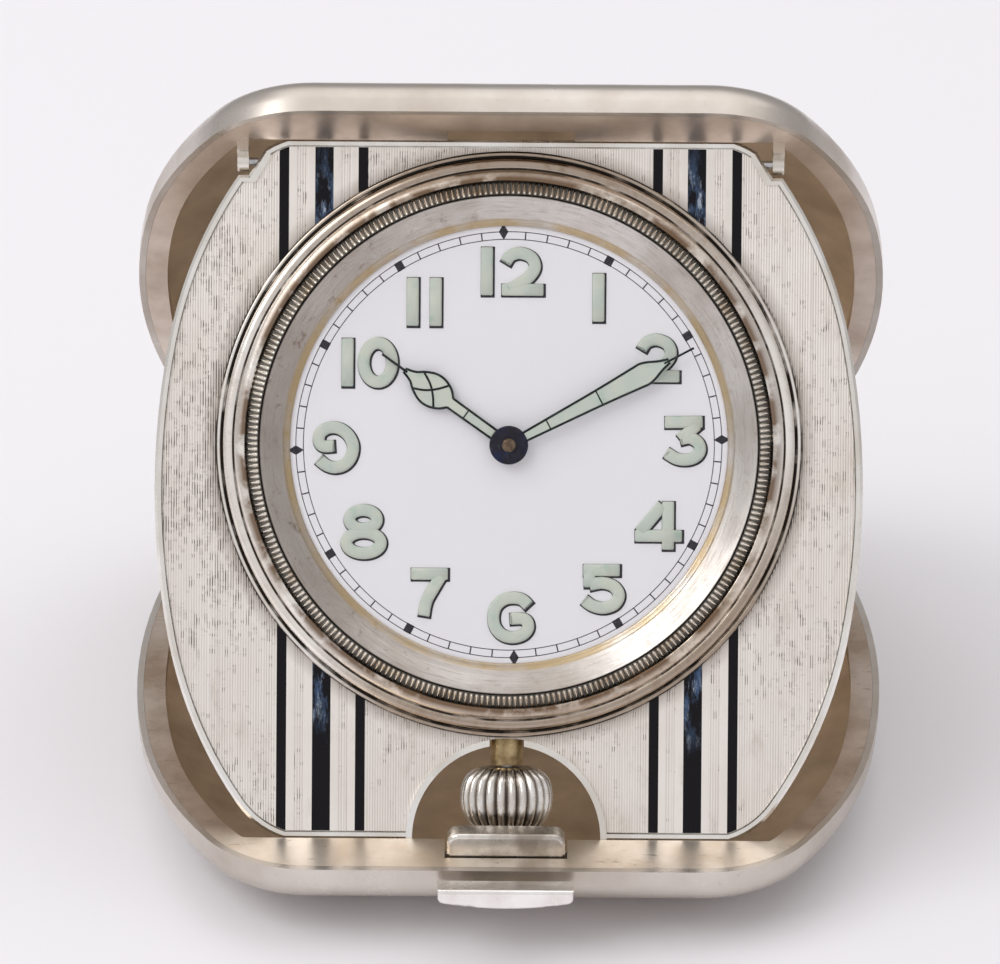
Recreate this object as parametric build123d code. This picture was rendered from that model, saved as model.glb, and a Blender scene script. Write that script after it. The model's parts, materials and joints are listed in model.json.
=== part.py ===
from build123d import *
import math
import os

os.makedirs("parts", exist_ok=True)

# A folding travel clock, standing open as a tent, in millimetres.
# The lower cover lies on the table. The upper cover is hinged to its rear edge.
# The clock leaf hangs from the upper lip and stands behind the lower lip.
# Origin: centre of the lower cover's underside. Front is -Y, right is +X, up is +Z.

# Case outline, shared by both covers and, drawn in, by the clock leaf
cover_half_width = 34.1
cover_half_length = 34.1
side_radius = 73.0
side_break = 13.7
shoulder_radius = 40.7
corner_radius = 11.0

# Covers
cover_height = 7.8
cover_wall = 0.6
edge_round = 2.8
edge_slope = 33.0
round_steps = 4
pillow_steps = 4
offset_limit_share = 0.82
side_rim_width = 2.6
rear_rim_width = 1.3
lip_width = 5.0
rim_thickness = 1.2
rim_seat_gap = 0.02
lid_gap = 0.2
open_angle = 56.0

# Case hinge
knuckle_radius = 1.3
knuckle_clearance = 0.25
knuckle_count = 5
knuckle_end_gap = 0.2
knuckle_web_height = 0.9
hinge_length = 32.0
hinge_pin_radius = 0.6
pin_clearance = 0.04

# Latch in the lower lip
catch_width = 10.3
catch_depth = 1.6
catch_height = 2.2
catch_tail = 2.2
catch_from_edge = 2.2
catch_corner_radius = 1.05
catch_face_round = 0.35
latch_travel = 0.8
latch_clearance = 0.2
button_width = 11.8
button_height = 1.9
button_proud = 1.7
button_drop = 0.35
button_end_height = 1.3
button_corner_radius = 0.6
button_crown_radius = 0.35
latch_bar_width = 7.0
latch_bar_height = 0.8
recess_width = 11.1
recess_depth = 1.7
spring_thickness = 0.2
spring_height = 0.7
spring_half_length = 8.6
spring_post_width = 1.0

# Clock leaf
leaf_inset = 3.15
leaf_end_margin = 3.5
leaf_set_back = 5.0
leaf_thickness = 1.4
plate_thickness = 0.9
border_width = 0.6
border_rise = 0.3
border_bevel = 0.25
groove_width = 0.12
dial_offset = 4.0
dial_opening_radius = 20.6
arch_radius = 8.8
arch_trim_width = 0.55
arch_drop = 0.1

# Leaf pivots, one at each upper corner
pivot_from_end = 2.0
pivot_radius = 0.35
pivot_depth_in_plate = 1.3
lug_thickness = 1.0
lug_clearance = 0.3
lug_radius = 0.9
notch_foot_width = 1.0
notch_slant = 1.3
notch_height = 2.1

# Enamel stripes of the front plate: distance of each centre line and its width
stripe_places = (12.85, 16.25, 19.75)
stripe_widths = (0.85, 1.6, 0.85)
stripe_depth = 0.3
stripe_tuck = 0.3

# Bezel, glass and dial
bezel_radius = 25.6
bezel_edge_height = 0.35
bezel_step_radius = 25.05
bezel_step_height = 0.75
bezel_shoulder_radius = 24.05
bezel_top_height = 1.35
coin_outer_radius = 22.9
coin_inner_radius = 21.8
coin_edge_height = 1.2
coin_top_height = 2.3
coin_flutes = 96
coin_flute_depth = 0.22
coin_seat_gap = 0.06
inner_ring_top = 1.9
inner_ring_foot = 0.75
inner_edge_radius = 19.7
inner_edge_height = 0.5
dial_visible_radius = 19.1
dial_radius = 21.2
dial_thickness = 0.3
dial_hole_radius = 1.5
glass_seat_radius = 21.65
glass_rise = 1.0
glass_thickness = 0.45

# Hands
hour_hand_level = 0.8
minute_hand_level = 1.25
hand_thickness = 0.2
lume_sink = 0.04
hour_hand_length = 13.6
hour_half_width = 1.47
hour_boss_radius = 1.5
hour_angle = 305.3
minute_hand_length = 18.2
minute_half_width = 1.06
minute_boss_radius = 1.69
minute_angle = 61.9
cap_radius = 0.55
cap_height = 0.3

# Right edges of the hands and of their open middles: shares of half width and of length
hour_side_shares = ((0.37, 0.08), (0.39, 0.46), (0.76, 0.505), (1.0, 0.573), (0.98, 0.64),
                    (0.7, 0.708), (0.36, 0.76), (0.14, 0.83), (0.07, 1.0))
hour_window_shares = ((0.21, 0.116), (0.22, 0.475), (0.6, 0.52), (0.84, 0.575),
                      (0.82, 0.635), (0.56, 0.695), (0.18, 0.752))
minute_side_shares = ((0.42, 0.06), (0.57, 0.275), (0.74, 0.495), (0.96, 0.69), (1.0, 0.73),
                      (0.84, 0.77), (0.48, 0.82), (0.2, 0.87), (0.1, 1.0))
minute_window_shares = ((0.25, 0.1), (0.4, 0.275), (0.57, 0.495), (0.78, 0.69),
                        (0.82, 0.73), (0.66, 0.765), (0.26, 0.812))
hand_fit_clearance = 0.03

# Movement behind the dial
case_radius = 23.6
case_depth = 4.8
case_wall = 0.7
case_edge_round = 0.8
back_margin = 1.6
back_thickness = 0.6
main_plate_thickness = 1.1
movement_clearance = 0.05
bridge_thickness = 0.6
train_gap = 0.1
arbor_radius = 0.25
arbor_clearance = 0.03
bridge_inset = 1.2
pillar_radius = 1.1
pillar_inset = 0.4
pillar_directions = (45.0, 120.0, 255.0)
cock_arm_share = 0.8
cock_gap = 0.2
spoke_outer_share = 0.84
spoke_inner_share = 0.3
spoke_width_share = 0.2
tooth_thickness_share = 0.3
tooth_tip_share = 0.16
addendum_share = 0.9
dedendum_share = 1.15
cannon_teeth = 12
minute_wheel_teeth = 36
minute_pinion_teeth = 10
hour_wheel_teeth = 40
motion_distance = 4.8
motion_gear_thickness = 0.3
motion_lift = 0.15
cannon_radius = 0.62
centre_arbor_radius = 0.35
hour_pipe_radius = 0.95
minute_wheel_direction = 215.0

# Barrel and train, laid out round the centre arbor
barrel_teeth = 96
centre_pinion_teeth = 12
barrel_distance = 9.18
barrel_direction = 200.0
barrel_gear_thickness = 0.4
barrel_drum_height = 1.4
barrel_drum_share = 0.93
centre_wheel_teeth = 80
third_pinion_teeth = 10
third_distance = 5.4
third_direction = 75.0
third_wheel_teeth = 75
fourth_pinion_teeth = 10
fourth_distance = 4.675
fourth_direction = 20.0
fourth_wheel_teeth = 70
escape_pinion_teeth = 7
escape_distance = 3.85
escape_direction = 335.0
escape_teeth = 15
escape_radius = 1.9
wheel_thickness = 0.25
escape_root_share = 0.78
escape_lean_share = 0.3
pallet_from_escape = 3.1
pallet_direction = 285.0
pallet_thickness = 0.25
pallet_lever = 2.6
pallet_arm_width = 0.4
pallet_boss_radius = 0.6
pallet_clearance = 0.2
pallet_spread = 1.6
balance_radius = 4.6
balance_rim = 0.5
balance_arm_width = 0.7
balance_thickness = 0.45
balance_direction = 345.0
balance_from_edge = 11.7
hairspring_outer = 2.4
hairspring_inner = 0.7
hairspring_turns = 4
hairspring_width = 0.12
hairspring_height = 0.25
collet_radius = 0.7

# Crown, stem and tube at the leaf's foot
crown_depth = 1.9
crown_gap = 4.7
crown_ridges = 24
crown_length = 6.1
crown_radius = 4.1
crown_groove_share = 0.1
crown_profile_shares = ((0.0, 0.5), (0.03, 0.66), (0.14, 0.88), (0.3, 0.98), (0.47, 1.0),
                        (0.64, 0.95), (0.8, 0.82), (0.92, 0.62), (1.0, 0.42))
ridge_profile_shares = ((0.0, 1.0), (0.22, 0.3), (0.5, 0.0), (0.78, 0.3))
crown_pull = 0.8
stem_radius = 0.45
stem_reach = 9.5
stem_clearance = 0.06
tube_radius = 1.45
tube_clearance = 0.05
tube_gap = 1.0
tube_seat = 0.6

overrun = 1.0
quarter_turn = 90.0


def cushion(inset):
    """Case outline drawn in by an inset: side, shoulder and corner arcs, straight ends."""
    side_angle = math.asin(side_break / side_radius)
    side_x = cover_half_width - side_radius
    shoulder_x = side_x + (side_radius - shoulder_radius) * math.cos(side_angle)
    shoulder_y = (side_radius - shoulder_radius) * math.sin(side_angle)
    corner_y = cover_half_length - corner_radius
    rise = corner_y - shoulder_y
    corner_x = shoulder_x + math.sqrt((shoulder_radius - corner_radius) ** 2 - rise ** 2)
    corner_angle = math.atan2(rise, corner_x - shoulder_x)

    def on_arc(x, y, radius, angle):
        reach = radius - inset
        return Vector(x + reach * math.cos(angle), y + reach * math.sin(angle))

    def arc(x, y, radius, start, end):
        middle = (start + end) / 2
        return [on_arc(x, y, radius, angle) for angle in (start, middle, end)]

    side = arc(side_x, 0, side_radius, 0, side_angle)
    shoulder = arc(shoulder_x, shoulder_y, shoulder_radius, side_angle, corner_angle)
    corner = arc(corner_x, corner_y, corner_radius, corner_angle, math.pi / 2)
    edges = []
    for flip_y in (1, -1):
        for flip_x in (1, -1):
            for points in (shoulder, corner):
                turned = [Vector(p.X * flip_x, p.Y * flip_y) for p in points]
                edges.append(ThreePointArc(*turned))
        left = Vector(-corner[2].X, corner[2].Y * flip_y)
        right = Vector(corner[2].X, corner[2].Y * flip_y)
        edges.append(Line(left, right))
    for flip_x in (1, -1):
        top = Vector(side[2].X * flip_x, side[2].Y)
        middle = Vector(side[0].X * flip_x, 0)
        foot = Vector(side[2].X * flip_x, -side[2].Y)
        edges.append(ThreePointArc(top, middle, foot))
    return make_face(edges)


def slab(face, low, high):
    """Solid between two heights on a flat outline drawn at height zero."""
    return Pos(0, 0, low) * extrude(face, high - low)


def disc(radius, low, high):
    """Plain disc between two heights."""
    return slab(Circle(radius), low, high)


def turned(points):
    """Solid of revolution about Z from radius and height pairs."""
    outline = Polyline(*[(radius, 0, height) for radius, height in points], close=True)
    return revolve(make_face(outline), Axis.Z)


def write(name, *solids):
    """One STEP file for one named sub-part."""
    shape = solids[0] if len(solids) == 1 else Compound(children=list(solids))
    export_step(shape, os.path.join("parts", name + ".step"))


# Places of the three frames: lower cover, upper cover and clock leaf
leaf_half_length = cover_half_length - leaf_end_margin
pivot_y = leaf_half_length - pivot_from_end
crown_top_y = dial_offset - case_radius - crown_gap
arch_centre_y = -leaf_half_length + arch_drop
hinge_y = cover_half_length + knuckle_radius + knuckle_clearance
hinge_z = cover_height + lid_gap / 2
swing = Pos(0, hinge_y, hinge_z) * Rot(-open_angle, 0, 0)
upper_place = swing * Pos(0, -hinge_y, hinge_z) * Rot(0, 180, 0)
lower_lip = Vector(0, -cover_half_length, cover_height)
upper_lip = (upper_place * Pos(0, -cover_half_length, cover_height)).position
lip_line = upper_lip - lower_lip
leaf_tilt = math.atan2(lip_line.Z, lip_line.Y)
lip_middle = (upper_lip + lower_lip) * (1 / 2)
leaf_y = lip_middle.Y + leaf_set_back * math.sin(leaf_tilt)
leaf_z = lip_middle.Z - leaf_set_back * math.cos(leaf_tilt)
leaf_place = Pos(0, leaf_y, leaf_z) * Rot(math.degrees(leaf_tilt), 0, 0)
dial_place = leaf_place * Pos(0, dial_offset, 0)
pivot_place = leaf_place * Pos(0, pivot_y, -leaf_thickness / 2)
pivot_in_upper = (upper_place.inverse() * pivot_place).position


# Covers
def cover_section(inset):
    """Cushion outline drawn in; beyond the corner radius it is scaled instead."""
    limit = corner_radius * offset_limit_share
    if inset <= limit:
        return cushion(inset)
    share = (cover_half_length - inset) / (cover_half_length - limit)
    return scale(cushion(limit), by=(share, share, 1))


def cover_profile(offset):
    """Insets and heights down the pillow: straight wall, round edge, slope easing to flat."""
    slope = math.radians(edge_slope)
    steps = []
    for index in range(round_steps + 1):
        angle = (math.pi / 2 - slope) * index / round_steps
        drop = rim_thickness + edge_round * math.sin(angle)
        steps.append((edge_round * (1 - math.cos(angle)), drop, angle))
    start, start_drop, _ = steps[-1]
    fall = cover_height - start_drop
    length = 2 * fall / math.tan(slope)
    for index in range(1, pillow_steps + 1):
        left = 1 - index / pillow_steps
        angle = math.pi / 2 - math.atan(math.tan(slope) * left)
        steps.append((start + length * (1 - left), cover_height - fall * left ** 2, angle))
    places = []
    for inset, drop, angle in steps:
        inset += offset * math.cos(angle)
        places.append((inset, cover_height - drop + offset * math.sin(angle)))
    return places


def cover_body(offset, top):
    """Pillow under a cushion block, all drawn in by an offset."""
    places = cover_profile(offset)
    sections = [Pos(0, 0, height) * cover_section(inset) for inset, height in places]
    edge_inset, edge_height = places[0]
    return loft(sections[::-1], ruled=True) + slab(cover_section(edge_inset), edge_height, top)


def cover_shell():
    return cover_body(0, cover_height) - cover_body(cover_wall, cover_height + overrun)


def cover_opening():
    """Mouth of the rim: even at the sides, wide at the front lip, slim at the rear."""
    shift = side_rim_width - rear_rim_width
    mouth = cushion(side_rim_width) + Pos(0, shift) * cushion(side_rim_width)
    front = -cover_half_length + lip_width
    reach = 2 * cover_half_length
    return mouth & Pos(0, front + reach / 2) * Rectangle(2 * cover_half_width, reach)


def cover_rim():
    top = cover_height
    outline = cushion(cover_wall + rim_seat_gap) - cover_opening()
    return slab(outline, top - rim_thickness, top)


def front_box(width, front, rear, low, high):
    """Box centred on X between two Y and two Z places."""
    size = Box(width, rear - front, high - low)
    return Pos(0, (front + rear) / 2, (low + high) / 2) * size


catch_front = -cover_half_length + catch_from_edge
catch_rear = catch_front + catch_depth
lip_rear = -cover_half_length + lip_width
bar_top = cover_height - rim_thickness - latch_clearance
bar_low = bar_top - latch_bar_height


def lower_cover():
    slot_width = latch_bar_width + 2 * latch_clearance
    slot = front_box(slot_width, -cover_half_length - overrun, catch_front,
                     bar_low - latch_clearance, bar_top + latch_clearance)
    return cover_shell() - slot


def lower_rim():
    notch = front_box(catch_width + 2 * latch_clearance, catch_front - latch_clearance,
                      lip_rear + overrun,
                      cover_height - rim_thickness - overrun, cover_height + overrun)
    return cover_rim() - notch


def upper_rim():
    recess = front_box(recess_width, lip_rear - recess_depth, lip_rear + overrun,
                       cover_height - rim_thickness - overrun, cover_height + overrun)
    return cover_rim() - recess


# Case hinge
knuckle_length = (hinge_length - (knuckle_count - 1) * knuckle_end_gap) / knuckle_count
knuckle_pitch = knuckle_length + knuckle_end_gap


def knuckle(index):
    """One barrel with its web to the cover wall, in the cover's own frame."""
    barrel = Rot(0, 90, 0) * Cylinder(knuckle_radius, knuckle_length)
    web_top = -lid_gap
    web = Box(knuckle_length, knuckle_radius + knuckle_clearance, knuckle_web_height)
    web = Pos(0, -(knuckle_radius + knuckle_clearance) / 2, web_top - knuckle_web_height / 2) * web
    bore = Rot(0, 90, 0) * Cylinder(hinge_pin_radius + pin_clearance, 2 * knuckle_length)
    offset = (index - (knuckle_count - 1) / 2) * knuckle_pitch
    return Pos(offset, hinge_y, hinge_z) * (barrel + web - bore)


def knuckles(start):
    return [knuckle(index) for index in range(start, knuckle_count, 2)]


def hinge_pin():
    return Pos(0, hinge_y, hinge_z) * Rot(0, 90, 0) * Cylinder(hinge_pin_radius, hinge_length)


# Latch
def latch_catch():
    """Rounded hook plate above the lip, with the bar through the front wall."""
    low = cover_height - catch_tail
    top = cover_height + catch_height
    outline = RectangleRounded(catch_width, top - low, catch_corner_radius)
    plate = Pos(0, catch_rear, (low + top) / 2) * Rot(90, 0, 0) * extrude(outline, catch_depth)
    plate = fillet(plate.edges().group_by(Axis.Y)[0], catch_face_round)
    bar = front_box(latch_bar_width, -cover_half_length - latch_travel - latch_clearance,
                    catch_front, bar_low, bar_top)
    return plate + bar


def latch_button():
    """Push button with a straight top, bowed foot and rounded front edges."""
    rear = -cover_half_length - latch_travel - latch_clearance
    half = button_width / 2
    corners = ((-half, -button_end_height), (0, -button_height), (half, -button_end_height))
    foot = ThreePointArc(*corners)
    sides = Polyline((half, -button_end_height), (half, 0), (-half, 0), (-half, -button_end_height))
    outline = make_face([foot, sides])
    lower = outline.vertices().group_by(Axis.Y)[0]
    outline = fillet(lower, button_corner_radius)
    bar = Pos(0, rear, cover_height - button_drop) * Rot(90, 0, 0) * extrude(outline, button_proud)
    return fillet(bar.edges().group_by(Axis.Y)[0], button_crown_radius)


def latch_spring():
    """Flat strip behind the catch, held by a post at each end under the lip."""
    front = catch_rear + latch_travel + latch_clearance
    low = cover_height - catch_tail + latch_clearance
    strip = front_box(2 * spring_half_length, front, front + spring_thickness,
                      low, low + spring_height)
    post_front = lip_rear - lip_width / 3
    for side in (-1, 1):
        post = front_box(spring_post_width, post_front, front + spring_thickness,
                         low, cover_height - rim_thickness)
        strip += Pos(side * spring_half_length, 0, 0) * post
    return strip


# Clock leaf
def leaf_blank(inset):
    trimmed = 2 * (leaf_half_length - inset)
    return cushion(leaf_inset + inset) & Rectangle(2 * cover_half_width, trimmed)


def edge_half_width(y):
    """Half width of the leaf at a height above its centre, on its corner arc."""
    sliver = leaf_blank(0) & Pos(0, y) * Rectangle(2 * cover_half_width, pivot_radius)
    return sliver.bounding_box().max.X


notch_low = pivot_y - lug_radius - lug_clearance
notch_foot_x = edge_half_width(notch_low) - notch_foot_width
leaf_edge_x = notch_foot_x - notch_slant * (pivot_y - notch_low) / notch_height


def leaf_outline(inset):
    """Leaf outline with a slanted notch for the pivot lug at each upper corner."""
    foot = notch_foot_x - inset
    low = notch_low - inset
    notch = make_face(Polyline((cover_half_width, low), (foot, low),
                               (foot - notch_slant, low + notch_height),
                               (foot - notch_slant, cover_half_length),
                               (cover_half_width, cover_half_length), close=True))
    return leaf_blank(inset) - notch - mirror(notch, Plane.YZ)


dial_hole = Pos(0, dial_offset) * Circle(dial_opening_radius)
arch_hole = Pos(0, arch_centre_y) * Circle(arch_radius)
tube_slot_length = arch_radius
tube_slot_y = arch_centre_y + arch_radius
tube_slot = Pos(0, tube_slot_y) * Rectangle(2 * (tube_radius + tube_clearance), tube_slot_length)


def leaf_frame():
    """Back sheet of the leaf with the bevelled border round its edge."""
    outline = leaf_outline(0) - dial_hole - arch_hole - tube_slot
    sheet = slab(outline, -leaf_thickness, -plate_thickness)
    border = slab(leaf_outline(0) - leaf_outline(border_width), -plate_thickness, border_rise)
    outer_edges = border.faces().sort_by(Axis.Z)[-1].outer_wire().edges()
    border = chamfer(outer_edges, border_bevel)
    return sheet + (border - slab(arch_hole, -leaf_thickness, border_rise + overrun))


def stripe_outline(place, width):
    """Two short columns of one stripe, above and below the bezel."""
    column = Pos(place, 0) * Rectangle(width, 2 * leaf_half_length)
    kept = leaf_outline(border_width + groove_width)
    cover = Pos(0, dial_offset) * Circle(bezel_radius - stripe_tuck)
    return (column & kept) - cover


stripes = []
for stripe_side in (-1, 1):
    for stripe_place, stripe_width in zip(stripe_places, stripe_widths):
        stripes.append(stripe_outline(stripe_side * stripe_place, stripe_width))


def front_plate():
    """Engine-turned front sheet, cut for the dial, the arch and the enamel channels."""
    outline = leaf_outline(border_width + groove_width) - dial_hole - arch_hole - tube_slot
    plate = slab(outline, -plate_thickness, 0)
    for outline in stripes:
        plate -= slab(outline, -stripe_depth, overrun)
    return plate


def enamel_stripes():
    return [slab(outline, -stripe_depth, 0).solids() for outline in stripes]


def arch_trim():
    hoop = Circle(arch_radius) - Circle(arch_radius - arch_trim_width)
    hoop = ((Pos(0, arch_centre_y) * hoop) & leaf_outline(0)) - tube_slot
    return slab(hoop, -leaf_thickness, border_rise)


# Pivots of the leaf on the upper lip
def pivot_pins():
    inner = leaf_edge_x - pivot_depth_in_plate
    outer = notch_foot_x + lug_thickness
    centre = (inner + outer) / 2
    length = outer - inner
    pin = Rot(0, 90, 0) * Cylinder(pivot_radius, length)
    return [Pos(side * centre, pivot_y, -leaf_thickness / 2) * pin for side in (-1, 1)]


def with_pin_holes(shape):
    for pin in pivot_pins():
        shape -= pin
    return shape


def pivot_lugs():
    """Two ears standing on the rear edge of the upper lip, each bored for a pivot pin."""
    lugs = []
    for side in (-1, 1):
        x = side * (notch_foot_x + lug_thickness / 2)
        eye = Pos(x, pivot_in_upper.Y, pivot_in_upper.Z) * Rot(0, 90, 0)
        boss = eye * Cylinder(lug_radius, lug_thickness)
        arm = front_box(lug_thickness, lip_rear, pivot_in_upper.Y,
                        cover_height, pivot_in_upper.Z)
        bore = eye * Cylinder(pivot_radius + pin_clearance, 2 * lug_thickness)
        lugs.append(boss + Pos(x, 0, 0) * arm - bore)
    return lugs


# Bezel, coin edge, glass and dial
def bezel():
    inner = coin_outer_radius + coin_seat_gap
    return turned([(inner, 0), (bezel_radius, 0), (bezel_radius, bezel_edge_height),
                   (bezel_step_radius, bezel_step_height),
                   (bezel_shoulder_radius, bezel_step_height),
                   (inner, bezel_top_height)])


def scalloped(radius, depth, count):
    """Closed zigzag of ridges and grooves round a circle."""
    points = []
    for index in range(2 * count):
        reach = radius if index % 2 == 0 else radius - depth
        angle = math.pi * index / count
        points.append((reach * math.cos(angle), reach * math.sin(angle)))
    return make_face(Polyline(*points, close=True))


def coin_edge_ring():
    """Sloped ring whose outer face carries the coin edge."""
    low = dial_thickness
    cone = turned([(coin_inner_radius, low), (coin_outer_radius, low),
                   (coin_outer_radius, coin_edge_height),
                   (coin_inner_radius + coin_flute_depth, coin_top_height),
                   (coin_inner_radius, coin_top_height)])
    teeth = slab(scalloped(coin_outer_radius, coin_flute_depth, coin_flutes), low, coin_top_height)
    return cone & teeth


def inner_ring():
    outer = coin_inner_radius
    return turned([(dial_visible_radius, dial_thickness), (outer, dial_thickness),
                   (outer, inner_ring_top), (inner_edge_radius, inner_ring_foot),
                   (dial_visible_radius, inner_edge_height)])


def glass():
    """Domed glass seated on the inner ring."""
    ball_radius = (glass_seat_radius ** 2 + glass_rise ** 2) / (2 * glass_rise)
    ball = Pos(0, 0, inner_ring_top + glass_rise - ball_radius) * Sphere(ball_radius)
    high = inner_ring_top + glass_rise + glass_thickness
    blank = disc(glass_seat_radius, inner_ring_top, high)
    return (blank & Pos(0, 0, glass_thickness) * ball) - ball


def dial():
    return disc(dial_radius, 0, dial_thickness) - disc(dial_hole_radius, -overrun, overrun)


# Hands, drawn pointing to twelve and turned to their place
def turn(angle):
    return Rot(0, 0, -angle)


def blade(shares, half_width, length):
    """Symmetric hand outline from shares of its half width and of its length."""
    right = [(x_share * half_width, y_share * length) for x_share, y_share in shares]
    left = [(-x, y) for x, y in reversed(right)]
    return make_face(Polyline(*right, *left, close=True))


hour_outline = blade(hour_side_shares, hour_half_width, hour_hand_length)
hour_window = blade(hour_window_shares, hour_half_width, hour_hand_length)
minute_outline = blade(minute_side_shares, minute_half_width, minute_hand_length)
minute_window = blade(minute_window_shares, minute_half_width, minute_hand_length)


def hand_frame(outline, inner, boss, hole, level):
    return slab(outline + Circle(boss) - inner - Circle(hole), level, level + hand_thickness)


def lume(inner, boss, level):
    high = level + hand_thickness - lume_sink
    return slab(inner - Circle(boss), level + lume_sink, high)


# Movement
def gear(teeth, module, thickness, bore, low, phase):
    """Spur gear with narrow straight-sided teeth; phase is in tooth pitches."""
    pitch_radius = teeth * module / 2
    tip_radius = pitch_radius + addendum_share * module
    root_radius = pitch_radius - dedendum_share * module
    pitch_angle = 2 * math.pi / teeth
    root_half = pitch_angle * tooth_thickness_share
    tip_half = pitch_angle * tooth_tip_share
    points = []
    for index in range(teeth):
        middle = (index + phase) * pitch_angle
        corners = ((root_radius, -root_half), (tip_radius, -tip_half),
                   (tip_radius, tip_half), (root_radius, root_half))
        for radius, offset in corners:
            angle = middle + offset
            points.append((radius * math.cos(angle), radius * math.sin(angle)))
    outline = make_face(Polyline(*points, close=True)) - Circle(bore)
    return slab(outline, low, low + thickness)


def polar(distance, direction):
    angle = math.radians(direction)
    return Vector(distance * math.cos(angle), distance * math.sin(angle))


plate_front = -leaf_thickness
plate_rear = plate_front - main_plate_thickness
case_rear = plate_front - case_depth
back_radius = case_radius - back_margin
bridge_rear = case_rear + back_thickness + train_gap
bridge_front = bridge_rear + bridge_thickness
motion_low = plate_front + motion_lift
motion_high = motion_low + motion_gear_thickness + motion_lift


def movement_case():
    """Round drum behind the leaf, open at the front, with a seat for the back."""
    drum = disc(case_radius, case_rear, plate_front)
    drum = fillet(drum.edges().group_by(Axis.Z)[0], case_edge_round)
    inside = disc(case_radius - case_wall, case_rear + back_thickness, plate_front + overrun)
    seat = disc(back_radius, case_rear - overrun, case_rear + back_thickness + overrun)
    stem_hole = Pos(0, -case_radius, stem_level) * Rot(90, 0, 0) * Cylinder(
        tube_radius + tube_clearance, 4 * case_wall)
    return drum - inside - seat - stem_hole


def case_back():
    return disc(back_radius - movement_clearance, case_rear, case_rear + back_thickness)


stem_level = -crown_depth


def module_for(distance, teeth, other_teeth):
    """Module of two gears that mesh at a centre distance."""
    return 2 * distance / (teeth + other_teeth)


barrel_module = module_for(barrel_distance, barrel_teeth, centre_pinion_teeth)
centre_module = module_for(third_distance, centre_wheel_teeth, third_pinion_teeth)
third_module = module_for(fourth_distance, third_wheel_teeth, fourth_pinion_teeth)
fourth_module = module_for(escape_distance, fourth_wheel_teeth, escape_pinion_teeth)
motion_module = module_for(motion_distance, cannon_teeth, minute_wheel_teeth)
hour_module = module_for(motion_distance, minute_pinion_teeth, hour_wheel_teeth)

# Centres of the arbors, in the dial frame
barrel_at = polar(barrel_distance, barrel_direction)
third_at = polar(third_distance, third_direction)
fourth_at = third_at + polar(fourth_distance, fourth_direction)
escape_at = fourth_at + polar(escape_distance, escape_direction)
pallet_at = escape_at + polar(pallet_from_escape, pallet_direction)
balance_at = polar(case_radius - balance_from_edge, balance_direction)
minute_wheel_at = polar(motion_distance, minute_wheel_direction)


def main_plate():
    plate = disc(case_radius - case_wall - movement_clearance, plate_rear, plate_front)
    plate -= disc(centre_arbor_radius + arbor_clearance, plate_rear - overrun, overrun)
    plate = arbor_holes(plate, (barrel_at, third_at, fourth_at, escape_at, pallet_at, balance_at))
    plate -= arbor(minute_wheel_at, plate_rear, plate_front)
    slot_width = 2 * (stem_radius + stem_clearance)
    slot_end = crown_top_y - dial_offset + stem_reach + stem_clearance
    slot = front_box(slot_width, -case_radius, slot_end, plate_rear - overrun, plate_front + overrun)
    return plate - slot


def balance_cock_free(shape):
    """Cut the bridge clear of the balance and of the cock that carries it."""
    hole = disc(balance_radius + 2 * cock_gap, case_rear, plate_rear)
    lane = Rectangle(case_radius, 2 * (pillar_radius + cock_gap))
    lane = slab(Pos(case_radius / 2, 0) * lane, case_rear, plate_rear)
    cut = Pos(balance_at.X, balance_at.Y, 0) * (hole + Rot(0, 0, balance_direction) * lane)
    return shape - cut


def arbor_holes(shape, places):
    for place in places:
        hole = disc(arbor_radius + arbor_clearance, case_rear - overrun, overrun)
        shape -= Pos(place.X, place.Y, 0) * hole
    return shape


def train_bridge():
    """Half bridge over the train wheels, on three pillars."""
    radius = case_radius - case_wall - bridge_inset
    plate = disc(radius, bridge_rear, bridge_front)
    plate = balance_cock_free(plate)
    for angle in pillar_directions:
        place = polar(radius - pillar_radius - pillar_inset, angle)
        plate += Pos(place.X, place.Y, 0) * disc(pillar_radius, bridge_rear, plate_rear)
    plate -= disc(centre_arbor_radius + arbor_clearance, case_rear, plate_rear)
    return arbor_holes(plate, (barrel_at, third_at, fourth_at, escape_at, pallet_at))


def balance_cock():
    """Cock over the balance, standing on a foot at the rim of the main plate."""
    foot_at = polar(case_radius - case_wall - bridge_inset - pillar_radius, balance_direction)
    foot = disc(pillar_radius, bridge_rear, plate_rear)
    arm_length = (foot_at - balance_at).length
    arm = slab(SlotCenterToCenter(arm_length, 2 * pillar_radius * cock_arm_share),
               bridge_rear, bridge_front)
    middle = (foot_at + balance_at) * (1 / 2)
    arm = Pos(middle.X, middle.Y, 0) * Rot(0, 0, balance_direction) * arm
    foot = Pos(foot_at.X, foot_at.Y, 0) * foot
    return arbor_holes(arm + foot, (balance_at,))


def arbor(place, low, high):
    return Pos(place.X, place.Y, 0) * disc(arbor_radius, low, high)


def wheel_on(place, teeth, module, low, thickness, phase):
    wheel = gear(teeth, module, thickness, arbor_radius, low, phase)
    return Pos(place.X, place.Y, 0) * wheel


def spoked(wheel, place, radius, low, thickness):
    """Cross out a wheel, leaving four spokes."""
    window = Circle(radius * spoke_outer_share) - Circle(radius * spoke_inner_share)
    width = radius * spoke_width_share
    for angle in (0, quarter_turn):
        window -= Rot(0, 0, angle) * Rectangle(2 * radius, width)
    cut = slab(window, low - thickness, low + 2 * thickness)
    return wheel - Pos(place.X, place.Y, 0) * cut


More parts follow.
